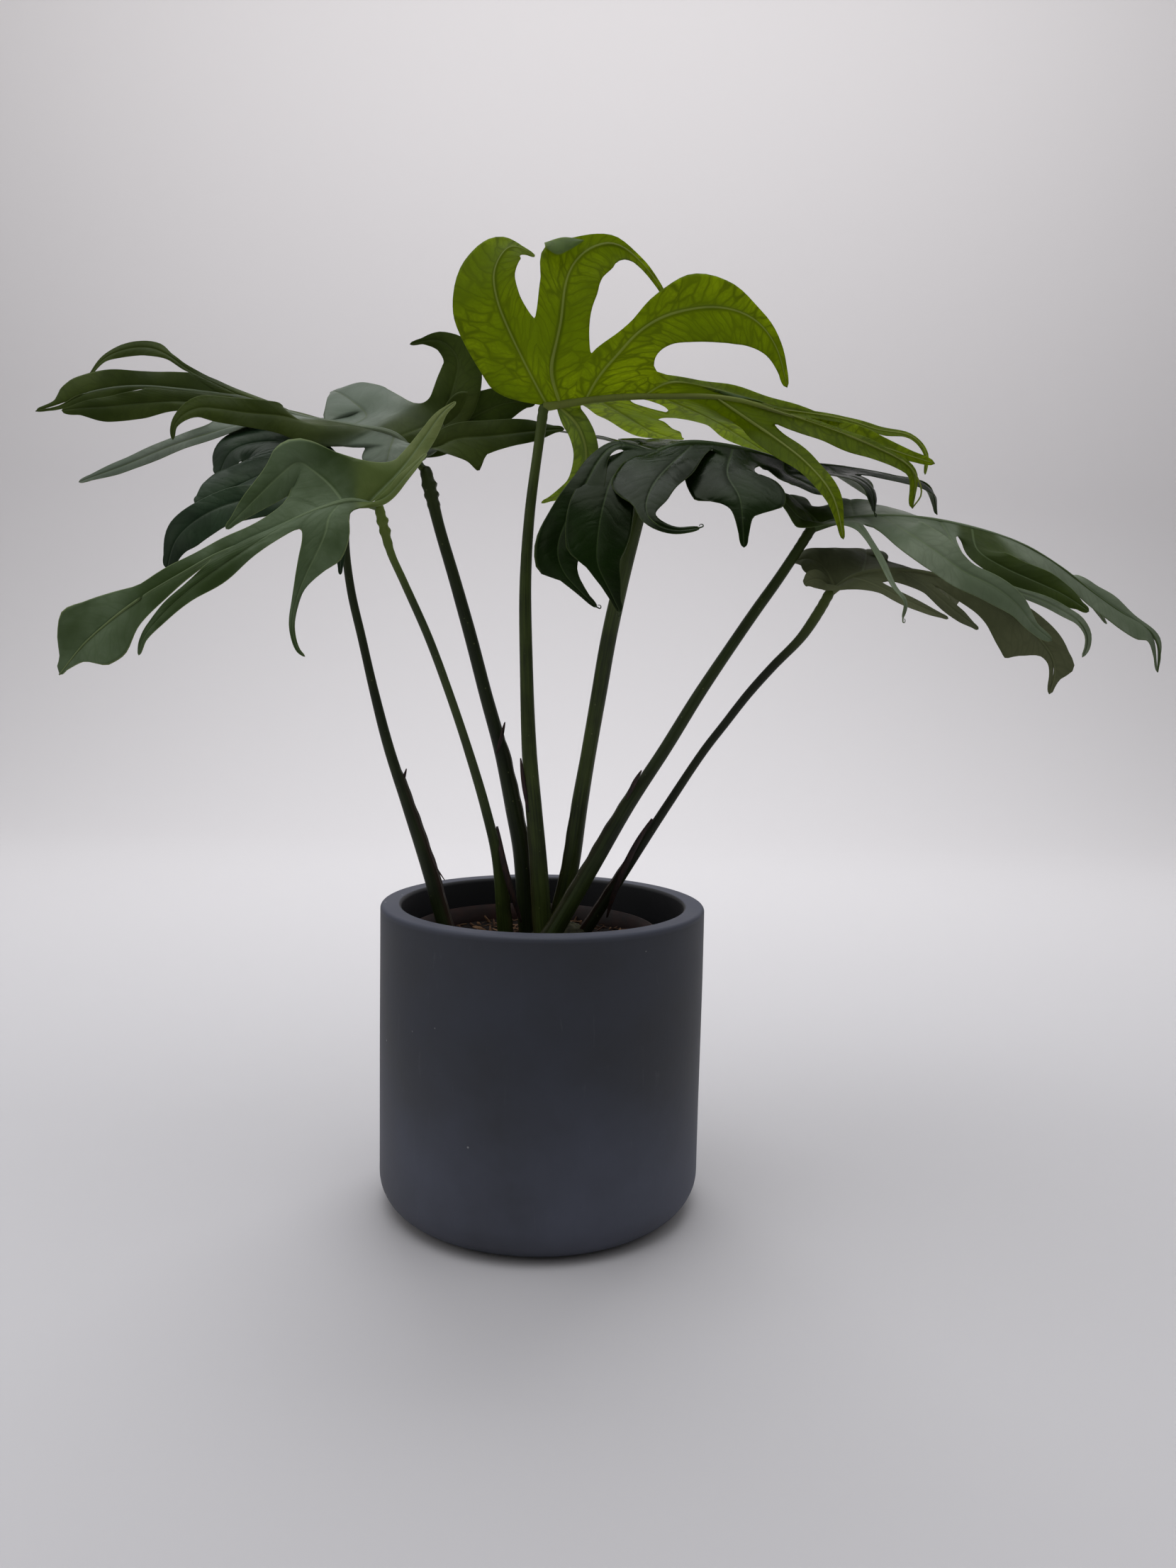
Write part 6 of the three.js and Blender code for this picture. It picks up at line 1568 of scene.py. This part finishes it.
# Leaf G. The oldest blade, on the thin stalk g below F. It is dull and droops, so that the eye
# sees mostly its underside.
LEAF_G = dict(
    rib=3.8,
    midrib=[(257, 574, -30), (278, 589, -34), (307, 595, -35), (346, 593, -33), (389, 578, -29),
            (422, 558, -26), (446, 539, -24), (462, 520, -24), (466, 504, -24), (462, 485, -24)],
    left=[
        dict(at=0.02, lean=(1, 0, 0.3), cut=(0.3, 0.72),
             vein=[(250, 596, -12), (236, 603, 2), (221, 600, 10)],
             back=[14, 16, 12, 4], front=[(0, 17), (0.4, 17), (0.75, 11), (0.93, 4)]),
        dict(at=0.12, lean=(1, 0, 0), cut=(0.72, 0.4),
             vein=[(288, 604, 0), (288, 612, 26), (286, 612, 48)],
             back=[(0, 16), (0.4, 16), (0.75, 12), (0.93, 5)], front=[18, 20, 16, 6]),
        dict(at=0.3, cut=(0.4, 0.4),
             vein=[(350, 588, 10), (362, 578, 38), (370, 562, 60)],
             back=[16, 17, 13, 5], front=[16, 17, 13, 5]),
        dict(at=0.44, cut=(0.4, 0.35),
             vein=[(408, 562, 8), (424, 548, 28), (436, 530, 42)],
             back=[12, 13, 10, 4], front=[12, 12, 9, 4]),
    ],
    right=[
        dict(at=0.01, lean=(0, -0.5, -1), cut=(0.25, 0.3),
             vein=[(248, 584, -44), (239, 584, -53), (233, 580, -58)],
             back=[8, 9, 8, 4], front=[9, 9, 7, 3]),
        dict(at=0.08, cut=(0.3, 0.25),
             vein=[(290, 584, -54), (328, 567, -66), (366, 552, -70)],
             back=[8, 8, 7, 3], front=[8, 7, 6, 3]),
        dict(at=0.24, cut=(0.25, 0.25),
             vein=[(344, 580, -44), (367, 562, -52), (394, 543, -54)],
             back=[10, 10, 9, 4], front=[9, 8, 7, 3]),
    ],
    tip=dict(
        lean=(-0.65, -0.3, -0.76),
        left=(0.42, 0.08, [(0, 10), (0.42, 16), (0.6, 18), (0.76, 17), (0.83, 22), (0.9, 8), (0.96, 4)]),
        right=(0.42, 0.08, [(0, 16), (0.25, 22), (0.42, 34), (0.5, 38), (0.6, 25), (0.72, 9), (0.9, 4)]),
    ),
)
# Old wax, worn and dusty: a dull olive grey on both sides, with hardly a glint.
place_leaf("g", LEAF_G, leaf_skin(
    "living leaf, waxy, old, dull", upper=("#565B3E", "#666A4C"), lower=("#565B3E", "#666A4C"),
    vein="#747A56", rim="#5E6840",
    glow=("#2C3E0C", "#3A4E14", "#181E0A"), through=0.12, gloss=0.6, plain=0.6), seed=103)

# Crown. The short rooting stem that the stalks rise from: knobbly, ringed with old leaf scars,
# half green and half corky brown, standing a finger's width out of the soil.
CROWN_AT = (16, 4, 240)
CROWN_SIZE = (31, 21, 23)
CROWN_RINGS = 40
CROWN_SIDES = 64
crown_points = []
crown_faces = []
for i in range(CROWN_RINGS + 1):
    tilt = math.pi * i / CROWN_RINGS - math.pi / 2
    for k in range(CROWN_SIDES):
        angle = 2 * math.pi * k / CROWN_SIDES
        lump = 1 + 0.07 * math.sin(3 * angle + 2 * tilt) + 0.05 * math.sin(7 * angle - 5 * tilt)
        lump += 0.03 * math.sin(26 * tilt + 2 * math.sin(2 * angle))
        r = math.cos(tilt) * lump
        tall = math.sin(tilt) * (1 + 0.04 * math.sin(5 * angle))
        crown_points.append((CROWN_AT[0] + CROWN_SIZE[0] * r * math.cos(angle),
                             CROWN_AT[1] + CROWN_SIZE[1] * r * math.sin(angle),
                             CROWN_AT[2] + CROWN_SIZE[2] * tall))
for i in range(CROWN_RINGS):
    for k in range(CROWN_SIDES):
        a = i * CROWN_SIDES + k
        b = i * CROWN_SIDES + (k + 1) % CROWN_SIDES
        crown_faces.append((a, b, b + CROWN_SIDES, a + CROWN_SIDES))

# Cork over green stem: dull and fibrous, between brown-black and olive in fibres 3 mm apart.
CORK_FIBRES = 3 * MM
cork, tree = fresh_material("stem cork, weathered")
place = add(tree, "ShaderNodeTexCoord", out="Object")
fibres = add(tree, "ShaderNodeMapping", {"Vector": place, "Scale": (1, 1, 0.25)})
weave = add(tree, "ShaderNodeTexNoise", {
    "Vector": fibres, "Scale": 1 / CORK_FIBRES, "Detail": 8, "Roughness": 0.7})
tone = add(tree, "ShaderNodeValToRGB", {"Fac": weave})
stops = tone.node.color_ramp.elements
stops[0].position = 0.3
stops[0].color = sRGB("#1A1810")
stops[1].position = 0.75
stops[1].color = sRGB("#4A4A2A")
bump = add(tree, "ShaderNodeBump", {"Height": weave, "Distance": 1.5 * MM, "Strength": 0.8})
surface = add(tree, "ShaderNodeBsdfPrincipled", {
    "Base Color": tone, "Roughness": 0.8, "Normal": bump})
add(tree, "ShaderNodeOutputMaterial", {"Surface": surface})
place_piece("crown_body", crown_points, crown_faces, cork, "crown", "crown")

# Studio. A plain pale floor that the planter stands on sweeps up into a plain pale backdrop, one
# big curved card in metres, so wide that none of its edges shows from the front; from behind, its
# front edge is the horizon.
SWEEP_HALF = 16.0
SWEEP_FRONT = -16.0
SWEEP_BACK = 3.4
SWEEP_ROUND = 1.2
SWEEP_TOP = 5.5
SWEEP_STEPS = 24

# Studio card, matt: even and without sheen, with the faintest mottle.
card, tree = fresh_material("studio card, matt")
mottle = add(tree, "ShaderNodeTexNoise", {"Scale": 3.0, "Detail": 2})
tint = add(tree, "ShaderNodeMixRGB", {
    "Fac": mottle, "Color1": sRGB("#C6C4C5"), "Color2": sRGB("#CBC9CA")})
surface = add(tree, "ShaderNodeBsdfPrincipled", {"Base Color": tint, "Roughness": 0.95})
add(tree, "ShaderNodeOutputMaterial", {"Surface": surface})

sweep_line = [(SWEEP_FRONT, 0.0)]
for step in range(SWEEP_STEPS + 1):
    angle = math.pi / 2 * step / SWEEP_STEPS
    sweep_line.append((SWEEP_BACK - SWEEP_ROUND * (1 - math.sin(angle)),
                       SWEEP_ROUND * (1 - math.cos(angle))))
sweep_line.append((SWEEP_BACK, SWEEP_TOP))
sweep_points = [(x, y, z) for y, z in sweep_line for x in (-SWEEP_HALF, SWEEP_HALF)]
sweep_faces = [(2 * k, 2 * k + 1, 2 * k + 3, 2 * k + 2) for k in range(len(sweep_line) - 1)]
sweep = bpy.data.meshes.new("floor_and_backdrop")
sweep.from_pydata(sweep_points, [], sweep_faces)
sweep.shade_smooth()
sweep.materials.append(card)
stage = bpy.data.objects.new("floor_and_backdrop", sweep)
bpy.context.scene.collection.objects.link(stage)


# Lights. Soft boxes, as from a big window on a dull day: most of the light comes from behind and
# above, and a little from the left in front. Places and sizes are in metres, power in watts.
def soft_light(name, where, towards, size, power, colour):
    """A rectangular lamp at one place, turned to shine towards another."""
    lamp = bpy.data.lights.new(name, "AREA")
    lamp.shape = "RECTANGLE"
    lamp.size = size[0]
    lamp.size_y = size[1]
    lamp.energy = power
    lamp.color = sRGB(colour)[:3]
    made = bpy.data.objects.new(name, lamp)
    made.location = where
    made.rotation_euler = (Vector(towards) - Vector(where)).to_track_quat("-Z", "Y").to_euler()
    bpy.context.scene.collection.objects.link(made)
    return made


# This lamp stands for all the light from behind; mirrored in the leaves it would be too small
# and too bright, and they mirror the backdrop instead.
sky_behind = soft_light("sky_behind", (0.2, 2.2, 2.6), (0, 0, 0.6), (3.0, 1.6), 46, "#FAFCFF")
sky_behind.visible_glossy = False
soft_light("backdrop_glow", (0, 1.0, 3.3), (0, 3.4, 2.7), (5.0, 0.8), 90, "#FFFDFD")
soft_light("sky_above", (-0.3, -0.2, 2.8), (0, 0, 0.3), (2.6, 2.2), 30, "#F6F8FF")
soft_light("window_left", (-2.4, -1.6, 1.5), (0, 0, 0.4), (1.6, 1.8), 6, "#FFFFFF")

# Overcast surroundings: pale above and behind the plant, and darker low down and in front, which
# is what the glossy leaves and the planter mirror.
SKY_LEAN = 0.9
world = bpy.data.worlds.new("overcast")
world.use_nodes = True
world.node_tree.nodes.clear()
tree = world.node_tree
way = add(tree, "ShaderNodeTexCoord", out="Generated")
back = add(tree, "ShaderNodeSeparateXYZ", {"Vector": way}, out="Y")
up = add(tree, "ShaderNodeSeparateXYZ", {"Vector": way}, out="Z")
lift = add(tree, "ShaderNodeMath", {0: back, 1: SKY_LEAN}, operation="MULTIPLY")
lean = add(tree, "ShaderNodeMath", {0: up, 1: lift}, operation="ADD")
rise = add(tree, "ShaderNodeMapRange", {"Value": lean, "From Min": -1.0, "From Max": 1.0})
sky = add(tree, "ShaderNodeValToRGB", {"Fac": rise})
stops = sky.node.color_ramp.elements
stops[0].position = 0.38
stops[0].color = sRGB("#666668")
stops[1].position = 0.75
stops[1].color = sRGB("#D4D4D6")
glow = add(tree, "ShaderNodeBackground", {"Color": sky, "Strength": 0.9})
add(tree, "ShaderNodeOutputWorld", {"Surface": glow})
bpy.context.scene.world = world
bpy.context.scene.view_settings.view_transform = "Standard"

# Camera. It stands where the photograph was taken from: 1.09 m in front of the planter's axis, at
# the height of the lowest leaf tips, looking 5.5 degrees down and rolled by 1.2 degrees. Its lens
# follows from the focal length in pixels, found from the planter's rim, foot and height.
FOCAL_PIXELS = 1661
PHOTO_HEIGHT = 2212
SENSOR_WIDTH = 36
CAMERA_AT = (0.0398, -1.0858, 0.4974)
LOOK_DOWN = 0.0956
CAMERA_ROLL = 0.0208
lens = bpy.data.cameras.new("photo_camera")
lens.sensor_width = SENSOR_WIDTH
lens.lens = FOCAL_PIXELS * SENSOR_WIDTH / PHOTO_HEIGHT
camera = bpy.data.objects.new("photo_camera", lens)
ahead = Vector((0, math.cos(LOOK_DOWN), -math.sin(LOOK_DOWN)))
level = Vector((1, 0, 0))
upright = level.cross(ahead)
right = level * math.cos(CAMERA_ROLL) + upright * math.sin(CAMERA_ROLL)
above = upright * math.cos(CAMERA_ROLL) - level * math.sin(CAMERA_ROLL)
turned_to = Matrix((right, above, -ahead)).transposed().to_4x4()
camera.matrix_world = Matrix.Translation(CAMERA_AT) @ turned_to
bpy.context.scene.collection.objects.link(camera)
bpy.context.scene.camera = camera
